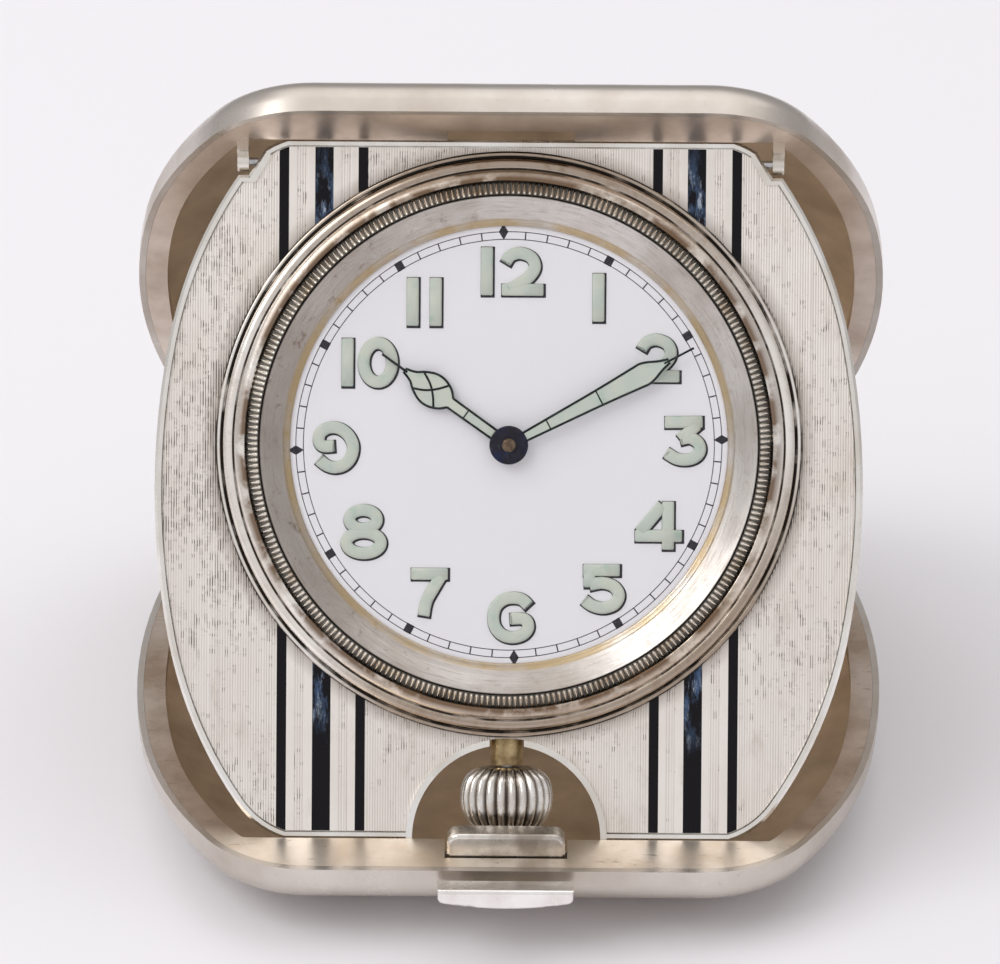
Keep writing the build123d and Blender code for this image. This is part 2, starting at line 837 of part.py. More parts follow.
drum_top = plate_rear - train_gap
drum_low = drum_top - barrel_drum_height
barrel_gear_low = drum_low - barrel_gear_thickness
level_step = wheel_thickness + 2 * train_gap
centre_level = barrel_gear_low - train_gap - wheel_thickness
third_level = drum_low + 2 * train_gap
fourth_level = third_level + level_step
escape_level = fourth_level + level_step - train_gap
balance_level = bridge_front + 2 * train_gap


def pair(driver_teeth, driven_teeth, direction):
    """Phases for two gears: a tooth of the first in a gap of the second."""
    turns = math.radians(direction) / (2 * math.pi)
    return turns * driver_teeth, (turns + 1 / 2) * driven_teeth + 1 / 2


def pair_behind(driver_teeth, driven_teeth, direction):
    """The same for a second gear that lies the other way from the direction."""
    turns = math.radians(direction) / (2 * math.pi) + 1 / 2
    return turns * driver_teeth, (turns + 1 / 2) * driven_teeth + 1 / 2


def barrel():
    phase, _ = pair_behind(barrel_teeth, centre_pinion_teeth, barrel_direction)
    radius = barrel_teeth * barrel_module / 2 * barrel_drum_share
    drum = Pos(barrel_at.X, barrel_at.Y, 0) * disc(radius, drum_low, drum_top)
    drum += wheel_on(barrel_at, barrel_teeth, barrel_module, barrel_gear_low,
                     barrel_gear_thickness, phase)
    bore = disc(arbor_radius + arbor_clearance, barrel_gear_low - overrun, drum_top + overrun)
    return drum - Pos(barrel_at.X, barrel_at.Y, 0) * bore


def barrel_arbor():
    return arbor(barrel_at, bridge_rear, plate_front - train_gap)


def centre_wheel():
    """Centre arbor with its pinion and wheel; it carries the cannon pinion in front."""
    _, pinion_phase = pair_behind(barrel_teeth, centre_pinion_teeth, barrel_direction)
    wheel_phase, _ = pair(centre_wheel_teeth, third_pinion_teeth, third_direction)
    wheel = gear(centre_wheel_teeth, centre_module, wheel_thickness, centre_arbor_radius,
                 centre_level, wheel_phase)
    wheel = spoked(wheel, Vector(0, 0, 0), centre_wheel_teeth * centre_module / 2,
                   centre_level, wheel_thickness)
    pinion = gear(centre_pinion_teeth, barrel_module, barrel_gear_thickness + train_gap,
                  centre_arbor_radius, barrel_gear_low - train_gap, pinion_phase)
    staff = disc(centre_arbor_radius, bridge_rear, minute_hand_level + hand_thickness)
    return staff + wheel + pinion


def train_wheel(place, pinion, pinion_low, pinion_height, wheel, wheel_low):
    """Arbor with a pinion and a crossed-out wheel; each gear is teeth, module and phase."""
    pinion_teeth, pinion_module, pinion_phase = pinion
    wheel_teeth, wheel_module, wheel_phase = wheel
    solid = arbor(place, bridge_rear, plate_front - train_gap)
    solid += wheel_on(place, pinion_teeth, pinion_module, pinion_low, pinion_height, pinion_phase)
    disk = wheel_on(place, wheel_teeth, wheel_module, wheel_low, wheel_thickness, wheel_phase)
    return solid + spoked(disk, place, wheel_teeth * wheel_module / 2, wheel_low, wheel_thickness)


def third_wheel():
    _, pinion_phase = pair(centre_wheel_teeth, third_pinion_teeth, third_direction)
    wheel_phase, _ = pair(third_wheel_teeth, fourth_pinion_teeth, fourth_direction)
    return train_wheel(third_at, (third_pinion_teeth, centre_module, pinion_phase),
                       centre_level, third_level - centre_level,
                       (third_wheel_teeth, third_module, wheel_phase), third_level)


def fourth_wheel():
    _, pinion_phase = pair(third_wheel_teeth, fourth_pinion_teeth, fourth_direction)
    wheel_phase, _ = pair(fourth_wheel_teeth, escape_pinion_teeth, escape_direction)
    return train_wheel(fourth_at, (fourth_pinion_teeth, third_module, pinion_phase),
                       third_level, fourth_level - third_level,
                       (fourth_wheel_teeth, fourth_module, wheel_phase), fourth_level)


def escape_wheel():
    """Fifteen hooked teeth on the last arbor of the train."""
    _, pinion_phase = pair(fourth_wheel_teeth, escape_pinion_teeth, escape_direction)
    solid = arbor(escape_at, bridge_rear, plate_front - train_gap)
    solid += wheel_on(escape_at, escape_pinion_teeth, fourth_module, fourth_level,
                      escape_level - fourth_level, pinion_phase)
    pitch = 2 * math.pi / escape_teeth
    points = []
    for index in range(escape_teeth):
        for radius, lean in ((escape_radius * escape_root_share, 0),
                             (escape_radius, escape_lean_share)):
            angle = (index + lean) * pitch
            points.append((radius * math.cos(angle), radius * math.sin(angle)))
    teeth = make_face(Polyline(*points, close=True)) - Circle(arbor_radius)
    wheel = slab(teeth, escape_level, escape_level + wheel_thickness)
    return solid + Pos(escape_at.X, escape_at.Y, 0) * wheel


def pallet_fork():
    """Anchor with two arms round the escape wheel and a lever towards the balance."""
    solid = arbor(Vector(0, 0, 0), bridge_rear, plate_front - train_gap)
    outline = Circle(pallet_boss_radius)
    outline += Pos(0, -pallet_lever / 2) * Rectangle(pallet_arm_width, pallet_lever)
    reach = pallet_from_escape - escape_radius - pallet_clearance
    outline += Rectangle(2 * pallet_spread, pallet_arm_width)
    for side in (-1, 1):
        arm = Rectangle(pallet_arm_width, reach)
        outline += Pos(side * (pallet_spread + pallet_arm_width / 2), reach / 2) * arm
    solid += slab(outline - Circle(arbor_radius), escape_level, escape_level + pallet_thickness)
    facing = Rot(0, 0, pallet_direction + quarter_turn)
    return Pos(pallet_at.X, pallet_at.Y, 0) * facing * solid


def balance():
    """Rim with one diametral arm on the balance staff."""
    rim = Circle(balance_radius) - Circle(balance_radius - balance_rim)
    arm = Rectangle(2 * balance_radius - balance_rim, balance_arm_width)
    outline = rim + arm + Circle(collet_radius) - Circle(arbor_radius)
    wheel = slab(outline, balance_level, balance_level + balance_thickness)
    staff = disc(arbor_radius, bridge_rear, plate_front - train_gap)
    return Pos(balance_at.X, balance_at.Y, 0) * (wheel + staff)


def hairspring():
    """Flat spiral above the balance, from its collet to the outer turn."""
    steps = 12
    count = hairspring_turns * steps
    growth = (hairspring_outer - hairspring_inner) / count
    inner = []
    outer = []
    for index in range(count + 1):
        angle = 2 * math.pi * index / steps
        radius = hairspring_inner + growth * index
        inner.append((radius * math.cos(angle), radius * math.sin(angle)))
        radius += hairspring_width
        outer.append((radius * math.cos(angle), radius * math.sin(angle)))
    outline = make_face(Polyline(*(inner + outer[::-1]), close=True))
    low = balance_level + balance_thickness + train_gap
    ring = Circle(hairspring_inner + hairspring_width) - Circle(arbor_radius)
    spring = slab(outline + ring, low, low + hairspring_height)
    return Pos(balance_at.X, balance_at.Y, 0) * spring


# Motion works between the main plate and the dial
def cannon_pinion():
    """Pipe on the centre arbor that carries the minute hand."""
    phase, _ = pair(cannon_teeth, minute_wheel_teeth, minute_wheel_direction)
    teeth = gear(cannon_teeth, motion_module, motion_gear_thickness, centre_arbor_radius,
                 motion_low, phase)
    pipe = disc(cannon_radius, motion_low, minute_hand_level)
    pipe -= disc(centre_arbor_radius, motion_low - overrun, minute_hand_level + overrun)
    return teeth + pipe


def minute_wheel():
    """Intermediate wheel and pinion of the motion works, on its own stud hole."""
    _, wheel_phase = pair(cannon_teeth, minute_wheel_teeth, minute_wheel_direction)
    pinion_phase, _ = pair_behind(minute_pinion_teeth, hour_wheel_teeth, minute_wheel_direction)
    bore = arbor_radius + arbor_clearance
    wheel = gear(minute_wheel_teeth, motion_module, motion_gear_thickness, bore,
                 motion_low, wheel_phase)
    pinion = gear(minute_pinion_teeth, hour_module, motion_gear_thickness + motion_lift, bore,
                  motion_low + motion_gear_thickness, pinion_phase)
    return Pos(minute_wheel_at.X, minute_wheel_at.Y, 0) * (wheel + pinion)


def minute_wheel_stud():
    top = motion_high + motion_gear_thickness
    return arbor(minute_wheel_at, plate_rear, top)


def hour_wheel():
    """Wheel and pipe that turn on the cannon pinion and carry the hour hand."""
    _, phase = pair_behind(minute_pinion_teeth, hour_wheel_teeth, minute_wheel_direction)
    bore = cannon_radius + hand_fit_clearance
    teeth = gear(hour_wheel_teeth, hour_module, motion_gear_thickness, bore,
                 motion_high, phase)
    pipe = disc(hour_pipe_radius, motion_high, hour_hand_level)
    return teeth + (pipe - disc(bore, motion_high - overrun, hour_hand_level + overrun))


# Crown and stem, drawn along Z and laid along the leaf's length
crown_frame = leaf_place * Pos(0, crown_top_y, -crown_depth) * Rot(90, 0, 0)


def ridged(radius):
    """Outline of the crown at one height: rounded ridges with grooves between."""
    points = []
    for index in range(crown_ridges):
        for place_share, depth_share in ridge_profile_shares:
            angle = 2 * math.pi * (index + place_share) / crown_ridges
            reach = radius * (1 - crown_groove_share * depth_share)
            points.append((reach * math.cos(angle), reach * math.sin(angle)))
    return make_face(Polyline(*points, close=True))


def crown():
    """Onion crown lofted through its ridged outlines, bored for the stem."""
    sections = []
    for height_share, radius_share in crown_profile_shares:
        section = ridged(crown_radius * radius_share)
        sections.append(Pos(0, 0, crown_length * height_share) * section)
    body = loft(sections, ruled=True)
    bore = disc(stem_radius + stem_clearance, -overrun, crown_bore_depth)
    return body - bore


crown_bore_depth = crown_length / 2


def winding_stem():
    return disc(stem_radius, -stem_reach, crown_bore_depth - stem_clearance)


def stem_tube():
    """Tube that guides the stem out of the case."""
    case_edge = crown_top_y - dial_offset + case_radius
    low = case_edge - tube_seat
    tube = disc(tube_radius, low, -tube_gap + crown_pull)
    return tube - disc(stem_radius + stem_clearance, low - overrun, overrun)


write("lower_cover", lower_cover())
write("lower_rim", lower_rim())
write("lower_knuckles", *knuckles(0))
write("hinge_pin", hinge_pin())
write("latch_catch", latch_catch())
write("latch_button", latch_button())
write("latch_spring", latch_spring())
write("upper_cover", upper_place * cover_shell())
write("upper_rim", upper_place * upper_rim())
write("upper_knuckles", *[upper_place * solid for solid in knuckles(1)])
write("pivot_lugs", *[upper_place * solid for solid in pivot_lugs()])
write("pivot_pins", *[leaf_place * solid for solid in pivot_pins()])
write("leaf_frame", leaf_place * with_pin_holes(leaf_frame()))
write("front_plate", leaf_place * with_pin_holes(front_plate()))
write("enamel_stripes", *[leaf_place * solid for group in enamel_stripes() for solid in group])
write("arch_trim", leaf_place * arch_trim())
write("bezel", dial_place * bezel())
write("coin_edge_ring", dial_place * coin_edge_ring())
write("inner_ring", dial_place * inner_ring())
write("glass", dial_place * glass())
write("dial", dial_place * dial())
write("movement_case", dial_place * movement_case())
write("case_back", dial_place * case_back())
write("main_plate", dial_place * main_plate())
write("train_bridge", dial_place * train_bridge())
write("balance_cock", dial_place * balance_cock())
write("barrel", dial_place * barrel())
write("barrel_arbor", dial_place * barrel_arbor())
write("centre_wheel", dial_place * centre_wheel())
write("third_wheel", dial_place * third_wheel())
write("fourth_wheel", dial_place * fourth_wheel())
write("escape_wheel", dial_place * escape_wheel())
write("pallet_fork", dial_place * pallet_fork())
write("balance", dial_place * balance())
write("hairspring", dial_place * hairspring())
write("cannon_pinion", dial_place * cannon_pinion())
write("minute_wheel", dial_place * minute_wheel())
write("minute_wheel_stud", dial_place * minute_wheel_stud())
write("hour_wheel", dial_place * hour_wheel())

hour_bore = cannon_radius + hand_fit_clearance
minute_bore = centre_arbor_radius
hour_place = dial_place * turn(hour_angle)
minute_place = dial_place * turn(minute_angle)
hour_frame = hand_frame(hour_outline, hour_window, hour_boss_radius, hour_bore,
                        hour_hand_level)
minute_frame = hand_frame(minute_outline, minute_window, minute_boss_radius, minute_bore,
                          minute_hand_level)
write("hour_hand", hour_place * hour_frame)
write("hour_lume", hour_place * lume(hour_window, hour_boss_radius, hour_hand_level))
write("minute_hand", minute_place * minute_frame)
write("minute_lume", minute_place * lume(minute_window, minute_boss_radius, minute_hand_level))
cap_low = minute_hand_level + hand_thickness
write("hand_cap", dial_place * disc(cap_radius, cap_low, cap_low + cap_height))

write("crown", crown_frame * crown())
write("winding_stem", crown_frame * winding_stem())
write("stem_tube", crown_frame * stem_tube())
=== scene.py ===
import json
import math

import bpy
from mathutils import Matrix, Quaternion, Vector


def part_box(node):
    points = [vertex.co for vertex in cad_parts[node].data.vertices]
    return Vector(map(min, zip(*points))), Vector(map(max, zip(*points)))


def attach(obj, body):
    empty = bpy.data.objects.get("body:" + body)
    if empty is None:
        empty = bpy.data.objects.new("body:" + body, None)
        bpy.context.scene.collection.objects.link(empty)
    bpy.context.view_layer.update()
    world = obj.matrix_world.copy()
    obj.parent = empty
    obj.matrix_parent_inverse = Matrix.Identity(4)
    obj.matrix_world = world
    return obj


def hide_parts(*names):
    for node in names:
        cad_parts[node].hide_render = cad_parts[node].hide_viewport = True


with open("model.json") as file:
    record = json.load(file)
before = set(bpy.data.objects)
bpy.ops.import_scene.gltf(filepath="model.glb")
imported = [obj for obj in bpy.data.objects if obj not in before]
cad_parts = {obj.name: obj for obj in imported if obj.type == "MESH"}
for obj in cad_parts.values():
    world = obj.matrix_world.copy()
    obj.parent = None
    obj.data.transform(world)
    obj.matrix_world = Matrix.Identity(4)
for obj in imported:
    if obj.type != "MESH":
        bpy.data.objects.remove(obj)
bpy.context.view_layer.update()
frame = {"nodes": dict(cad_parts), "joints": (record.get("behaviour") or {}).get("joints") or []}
nodes = frame["nodes"]
joints = {joint["name"]: joint for joint in frame["joints"]}

# Lengths in this script are in millimetres; every mesh is written in metres.
MM = 0.001

# Engraved lines of the front plate: their pitch, and the strips between the enamel stripes
line_pitch = 0.2275
strip_spans = ((13.275, 15.45), (17.05, 19.325))
strip_margin = 0.62

# Dial frame: centre of the dial on the leaf's front face, X right, Y up the leaf, W outward
dial_centre = Vector(joints["minute_turn"]["pos_m"])
dial_out = Vector(joints["minute_turn"]["axis"]).normalized()
dial_right = Vector((1, 0, 0))
dial_up = dial_out.cross(dial_right)

# Sizes that the pieces made here share with the leaf
dial_offset = 4.0
enamel_face = 0.3
dial_turn = 1.8


def on_dial(x, y, w):
    """Point of the dial frame, in metres."""
    return dial_centre + MM * (x * dial_right + y * dial_up + w * dial_out)


# Mesh helpers
def add_object(name, data):
    made = bpy.data.objects.new(name, data)
    bpy.context.scene.collection.objects.link(made)
    return made


class Parts:
    """Vertices and faces of several closed forms that become one piece."""

    def __init__(self):
        self.vertices = []
        self.faces = []

    def ring_skin(self, rings, loop=False):
        """Skin through rings of equally many points, with end faces where it isn't a loop."""
        start, count = len(self.vertices), len(rings[0])
        self.vertices += [point for ring in rings for point in ring]
        for row in range(len(rings) if loop else len(rings) - 1):
            here, after = start + row * count, start + (row + 1) % len(rings) * count
            for column in range(count):
                beside = (column + 1) % count
                self.faces.append((here + column, here + beside, after + beside, after + column))
        if not loop:
            last = start + (len(rings) - 1) * count
            self.faces.append(tuple(reversed(range(start, start + count))))
            self.faces.append(tuple(range(last, last + count)))

    def prism(self, outline, low, high):
        """Flat closed form of the dial frame between two heights."""
        rings = [[on_dial(x, y, w) for x, y in outline] for w in (low, high)]
        self.ring_skin(rings)

    def piece(self, name, material, body, smooth=True):
        """One mesh piece in the frame, riding on a body."""
        mesh = bpy.data.meshes.new(name)
        mesh.from_pydata([tuple(v) for v in self.vertices], [], self.faces)
        mesh.validate()
        mesh.update()
        for polygon in mesh.polygons:
            polygon.use_smooth = smooth
        mesh.materials.append(material)
        piece = add_object(name, mesh)
        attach(piece, body)
        return piece


def lathe(name, profile, segments, material, body, ripple=None):
    """Turned piece: each profile point is radius and height in the dial frame."""
    rings = []
    for step in range(segments):
        angle = 2 * math.pi * step / segments
        ring = []
        for index, (radius, height) in enumerate(profile):
            drop = ripple(index, step) if ripple else 0.0
            reach = radius - drop
            ring.append(on_dial(reach * math.cos(angle), reach * math.sin(angle), height - drop))
        rings.append(ring)
    parts = Parts()
    parts.ring_skin(rings, loop=True)
    return parts.piece(name, material, body)


def smooth_path(points, steps):
    """Catmull-Rom curve through the points, open at both ends."""
    path = []
    padded = [points[0]] + list(points) + [points[-1]]
    for index in range(1, len(padded) - 2):
        before, here, there, after = padded[index - 1:index + 3]
        for step in range(steps):
            t = step / steps
            path.append(tuple(
                0.5 * (2 * here[k] + (there[k] - before[k]) * t
                       + (2 * before[k] - 5 * here[k] + 4 * there[k] - after[k]) * t * t
                       + (3 * here[k] - before[k] - 3 * there[k] + after[k]) * t ** 3)
                for k in (0, 1)))
    path.append(points[-1])
    return path


def path_normals(path, closed):
    """Unit normal at each point, to the left of the way along the path."""
    normals = []
    count = len(path)
    for index in range(count):
        behind = path[index - 1] if closed or index > 0 else path[index]
        ahead = path[(index + 1) % count] if closed or index < count - 1 else path[index]
        dx, dy = ahead[0] - behind[0], ahead[1] - behind[1]
        length = math.hypot(dx, dy)
        normals.append((-dy / length, dx / length))
    return normals


# Sections of a stroke: shares of its half width and of its height
stroke_section = ((-1, 0), (-1, 0.45), (-0.86, 0.8), (-0.6, 0.97), (0, 1.0),
                  (0.6, 0.97), (0.86, 0.8), (1, 0.45), (1, 0))
flat_section = ((-1, 0), (-1, 1), (1, 1), (1, 0))
soft_width_share, soft_height_share = 0.86, 0.35


def add_stroke(parts, path, half_width, low, height, section, closed=False, soften=0.0):
    """Stroke along a flat path, with ends drawn in by a soften length."""
    path, normals = list(path), path_normals(path, closed)
    soft = soften and not closed
    if soft:
        for end, sign, spot in ((0, -1, 1), (-1, 1, len(path))):
            normal = normals[end]
            along = (normal[1] * sign, -normal[0] * sign)
            path.insert(spot, (path[end][0] - along[0] * soften, path[end][1] - along[1] * soften))
            normals.insert(spot, normal)
    rings = []
    for index, (point, normal) in enumerate(zip(path, normals)):
        at_end = soft and index in (0, len(path) - 1)
        width = half_width * (soft_width_share if at_end else 1.0)
        rise = height * (soft_height_share if at_end else 1.0)
        rings.append([on_dial(point[0] + normal[0] * a * width, point[1] + normal[1] * a * width,
                              low + b * rise) for a, b in section])
    parts.ring_skin(rings, loop=closed)


# Material helpers
class Tree:
    """Short names for building one material's nodes."""

    def __init__(self, name):
        self.material = bpy.data.materials.new(name)
        self.material.use_nodes = True
        self.nodes = self.material.node_tree.nodes
        self.links = self.material.node_tree.links
        self.shader = self.nodes["Principled BSDF"]
        self.place = self.make("ShaderNodeTexCoord").outputs["Object"]

    def make(self, kind, inputs=None, **settings):
        made = self.nodes.new(kind)
        for key, value in settings.items():
            setattr(made, key, value)
        for key, value in (inputs or {}).items():
            self.put(made.inputs[key], value)
        return made

    def put(self, socket, value):
        if isinstance(value, bpy.types.NodeSocket):
            self.links.new(value, socket)
        else:
            socket.default_value = value

    def math(self, operation, *values):
        made = self.make("ShaderNodeMath", operation=operation)
        for socket, value in zip(made.inputs, values):
            self.put(socket, value)
        return made.outputs[0]

    def times(self, first, second):
        return self.math("MULTIPLY", first, second)

    def plus(self, first, second):
        return self.math("ADD", first, second)

    def weighed(self, first, share, second, other_share):
        return self.plus(self.times(first, share), self.times(second, other_share))

    def distance(self, first, second):
        return self.math("ABSOLUTE", self.math("SUBTRACT", first, second))

    def ramp(self, value, low, high, to_low=0.0, to_high=1.0):
        made = self.make("ShaderNodeMapRange", {"Value": value, "From Min": low, "From Max": high,
                                                "To Min": to_low, "To Max": to_high})
        return made.outputs["Result"]

    def spread(self, mask, low, high):
        """Value that goes from low to high as a mask goes from 0 to 1."""
        return self.ramp(mask, 0.0, 1.0, low, high)

    def mix(self, factor, first, second):
        made = self.make("ShaderNodeMix", data_type="RGBA")
        self.put(made.inputs["Factor"], factor)
        self.put(made.inputs["A"], first)
        self.put(made.inputs["B"], second)
        return made.outputs["Result"]

    def tint(self, colour, mask, amount, stain):
        """Colour with a stain laid over it where a mask shows."""
        return self.mix(self.times(mask, amount), colour, stain)

    def vector_math(self, operation, first, second, output="Vector"):
        made = self.make("ShaderNodeVectorMath", {0: first, 1: second}, operation=operation)
        return made.outputs[output]

    def noise_at(self, place, scale, detail, roughness):
        made = self.make("ShaderNodeTexNoise", {"Vector": place, "Scale": scale, "Detail": detail,
                                                "Roughness": roughness})
        return made.outputs["Fac"]

    def noise(self, scale, detail, roughness=0.55, stretch=(1, 1, 1)):
        """Noise from 0 to 1; scale is in cells per millimetre."""
        place = self.vector_math("MULTIPLY", self.place, stretch)
        return self.noise_at(place, scale / MM, detail, roughness)

    def cloud(self, low, high, *noise):
        """Mask that rises from 0 to 1 between two levels of a noise."""
        return self.ramp(self.noise(*noise), low, high)

    def dial_place(self):
        """Right, up and outward places in the dial frame, in millimetres, and the radius."""
        moved = self.vector_math("SUBTRACT", self.place, tuple(dial_centre))
        x, y, w = (self.vector_math("DOT_PRODUCT", moved, tuple(direction / MM), "Value")
                   for direction in (dial_right, dial_up, dial_out))
        return x, y, w, self.math("SQRT", self.plus(self.times(x, x), self.times(y, y)))

    def vector(self, x, y, z):
        return self.make("ShaderNodeCombineXYZ", {"X": x, "Y": y, "Z": z}).outputs[0]

    def turning_marks(self, x, y, radius, turn_scale, scale):
        """Noise drawn out round the dial, as a lathe or a brush leaves it."""
        angle = self.math("ARCTAN2", y, x)
        place = self.vector(radius, self.times(angle, turn_scale), 0.0)
        return self.noise_at(place, scale, 5.0, 0.65)

    def bump(self, height, depth, strength):
        """Bump from a height of 0 to 1; depth is in millimetres."""
        made = self.make("ShaderNodeBump", {"Height": height, "Distance": depth * MM,
                                            "Strength": strength})
        self.links.new(made.outputs["Normal"], self.shader.inputs["Normal"])

    def finish(self, colour, metal, roughness, coat=0.0, specular=0.5):
        self.put(self.shader.inputs["Base Color"], colour)
        self.put(self.shader.inputs["Metallic"], metal)
        self.put(self.shader.inputs["Roughness"], roughness)
        self.put(self.shader.inputs["Coat Weight"], coat)
        self.put(self.shader.inputs["Specular IOR Level"], specular)
        return self.material


def rgb(red, green, blue):
    return (red, green, blue, 1.0)


# Colours of the metal, light where it is rubbed and brown where it has tarnished
silver_light = rgb(0.80, 0.76, 0.70)
silver_mid = rgb(0.62, 0.57, 0.50)
silver_brown = rgb(0.36, 0.28, 0.20)
oxide = rgb(0.035, 0.028, 0.022)


def worn_silver(name, light, dark, cloud_scale, rough_low, rough_high):
    """Old polished silver: clouds of tarnish, specks and hairline scratches."""
    t = Tree(name)
    clouds = t.cloud(0.36, 0.66, cloud_scale, 4.0)
    colour = t.tint(light, clouds, 0.8, dark)
    colour = t.tint(colour, t.cloud(0.62, 0.75, 2.6, 6.0, 0.7), 0.35, silver_brown)
    hair = t.noise(3.2, 3.0, 0.6, (0.12, 1.0, 1.0))
    across = t.noise(3.6, 3.0, 0.6, (1.0, 0.14, 1.0))
    scratches = t.weighed(hair, 0.5, across, 0.5)
    t.bump(t.weighed(scratches, 0.5, clouds, 0.4), 0.02, 0.6)
    dull = t.weighed(clouds, 0.6, t.cloud(0.35, 0.7, 1.6, 5.0), 0.4)
    return t.finish(colour, 1.0, t.spread(dull, rough_low, rough_high))


def cover_silver(name, centre):
    """Cover shell: silver outside, warmer and duller on the faces turned to its hollow."""
    t = Tree(name)
    normal = t.make("ShaderNodeTexCoord").outputs["Normal"]
    away = t.vector_math("SUBTRACT", t.place, tuple(centre))
    facing = t.vector_math("DOT_PRODUCT", away, normal, "Value")
    inside = t.math("LESS_THAN", facing, 0.0)
    clouds = t.cloud(0.34, 0.68, 0.09, 4.0)
    outer = t.mix(clouds, rgb(0.71, 0.66, 0.61), rgb(0.54, 0.48, 0.42))
    outer = t.tint(outer, t.cloud(0.6, 0.78, 1.8, 6.0, 0.7), 0.45, silver_brown)
    inner = t.mix(t.cloud(0.3, 0.7, 0.16, 4.0), rgb(0.90, 0.77, 0.62), rgb(0.62, 0.51, 0.39))
    rough = t.plus(t.times(clouds, 0.14), t.plus(0.24, t.times(inside, 0.16)))
    hair = t.noise(3.0, 3.0, 0.6, (0.15, 1.0, 1.0))
    t.bump(t.weighed(hair, 0.5, clouds, 0.5), 0.02, 0.5)
    return t.finish(t.mix(inside, outer, inner), 1.0, rough)


def plate_silver():
    """Engine-turned plate: pale, with dark oxide left in stretches of the fine lines."""
    t = Tree("plate_silver")
    x, y, _, radius = t.dial_place()
    clouds = t.cloud(0.36, 0.66, 0.10, 4.0)
    colour = t.tint(rgb(0.95, 0.90, 0.85), clouds, 0.8, rgb(0.82, 0.76, 0.69))
    line = t.math("DIVIDE", x, line_pitch)
    groove = t.ramp(t.math("COSINE", t.times(line, 2 * math.pi)), 0.1, -0.75)
    for low_x, high_x in strip_spans:
        middle, half = (low_x + high_x) / 2, (high_x - low_x) / 2
        away = t.distance(t.math("ABSOLUTE", x), middle)
        bare = t.times(t.math("GREATER_THAN", away, half - strip_margin),
                       t.math("LESS_THAN", away, half + 0.1))
        groove = t.times(groove, t.math("SUBTRACT", 1.0, bare))
    # Each line has its own row of the noise, so that its dashes don't run on into the next
    own_line = t.times(t.math("FLOOR", t.plus(line, 0.5)), 5.37)
    dashes = t.noise_at(t.vector(own_line, t.times(y, 0.62), 0.0), 1.0, 5.0, 0.62)
    tones = t.noise_at(t.vector(own_line, t.times(y, 0.05), 3.0), 1.0, 2.0, 0.5)
    near_bezel = t.ramp(radius, 30.0, 26.0)
    outer_left = t.times(t.ramp(x, -20.5, -25.0), t.ramp(y, -22.0, -6.0, 0.3, 1.0))
    lean = t.plus(t.times(t.cloud(0.4, 0.68, 0.12, 4.0), 0.10),
                  t.weighed(near_bezel, 0.05, outer_left, 0.085))
    oxide_place = t.ramp(t.plus(dashes, lean), 0.63, 0.70)
    faint = t.times(groove, t.ramp(tones, 0.3, 0.7, 0.10, 0.42))
    colour = t.mix(faint, colour, rgb(0.36, 0.29, 0.23))
    colour = t.tint(colour, t.times(oxide_place, groove), 0.92, rgb(0.075, 0.045, 0.032))
    film = t.cloud(0.56, 0.72, 0.5, 6.0, 0.7, (1.0, 0.35, 0.35))
    colour = t.tint(colour, film, 0.28, rgb(0.42, 0.34, 0.26))
    colour = t.tint(colour, t.ramp(radius, 26.9, 25.5), 0.55, rgb(0.20, 0.15, 0.11))
    t.bump(dashes, 0.008, 0.4)
    return t.finish(colour, 1.0, t.spread(clouds, 0.34, 0.46))


def gold_and_shade_side(t, x, y, radius):
    """From 0 at the left, facing the key lamp, to 1 at the top and lower right: gold-brown tarnish
    and painted shade.
    """
    rise = t.math("DIVIDE", y, radius)
    top = t.math("MAXIMUM", t.ramp(rise, 0.35, 0.95), t.ramp(rise, -0.72, -0.95))
    lean = t.math("DIVIDE", t.math("SUBTRACT", t.times(x, 0.8), y), radius)
    return t.math("MAXIMUM", top, t.ramp(lean, 0.8, 1.25))


# Dark turned lines of the bezel: radius and half width
bezel_lines = ((25.1, 0.2), (24.06, 0.13), (25.62, 0.2), (22.97, 0.1))


def bezel_silver():
    """Turned bezel: bright bands, dark turned grooves, gold-brown stain by the coin edge, painted
    shade at the lower right.
    """
    t = Tree("bezel_silver")
    x, y, _, radius = t.dial_place()
    clouds = t.cloud(0.38, 0.68, 0.12, 4.0)
    # Gold-brown tarnish and painted shade, strongest at the top and the lower right
    gold = gold_and_shade_side(t, x, y, radius)
    colour = t.tint(rgb(0.96, 0.92, 0.87), clouds, 0.5, rgb(0.72, 0.64, 0.54))
    colour = t.tint(colour, gold, 0.5, rgb(0.55, 0.41, 0.27))
    # Painted shade and tarnish darken the outer band on that side
    outer = t.times(t.ramp(radius, 23.9, 24.3), gold)
    colour = t.tint(colour, outer, 0.6, rgb(0.22, 0.15, 0.10))
    mottle = t.cloud(0.5, 0.7, 0.9, 6.0, 0.7)
    colour = t.tint(colour, mottle, t.spread(gold, 0.2, 0.55), rgb(0.27, 0.18, 0.11))
    stain = t.times(t.ramp(t.plus(t.noise(0.35, 5.0), t.times(gold, 0.07)), 0.42, 0.56),
                    t.ramp(radius, 23.95, 23.3))
    colour = t.tint(colour, stain, 0.9, rgb(0.16, 0.09, 0.045))
    for place, width in bezel_lines:
        line = t.ramp(t.distance(radius, place), width, width * 0.5)
        colour = t.tint(colour, line, t.cloud(0.26, 0.5, 0.3, 4.0), oxide)
    rough = t.plus(t.times(clouds, 0.12), t.plus(0.17, t.times(stain, 0.25)))
    t.bump(t.turning_marks(x, y, radius, 2.0, 3.0), 0.014, 0.6)
    return t.finish(colour, 1.0, rough)


coin_ridges = 290
crown_ridges, crown_depth = 24, 1.9


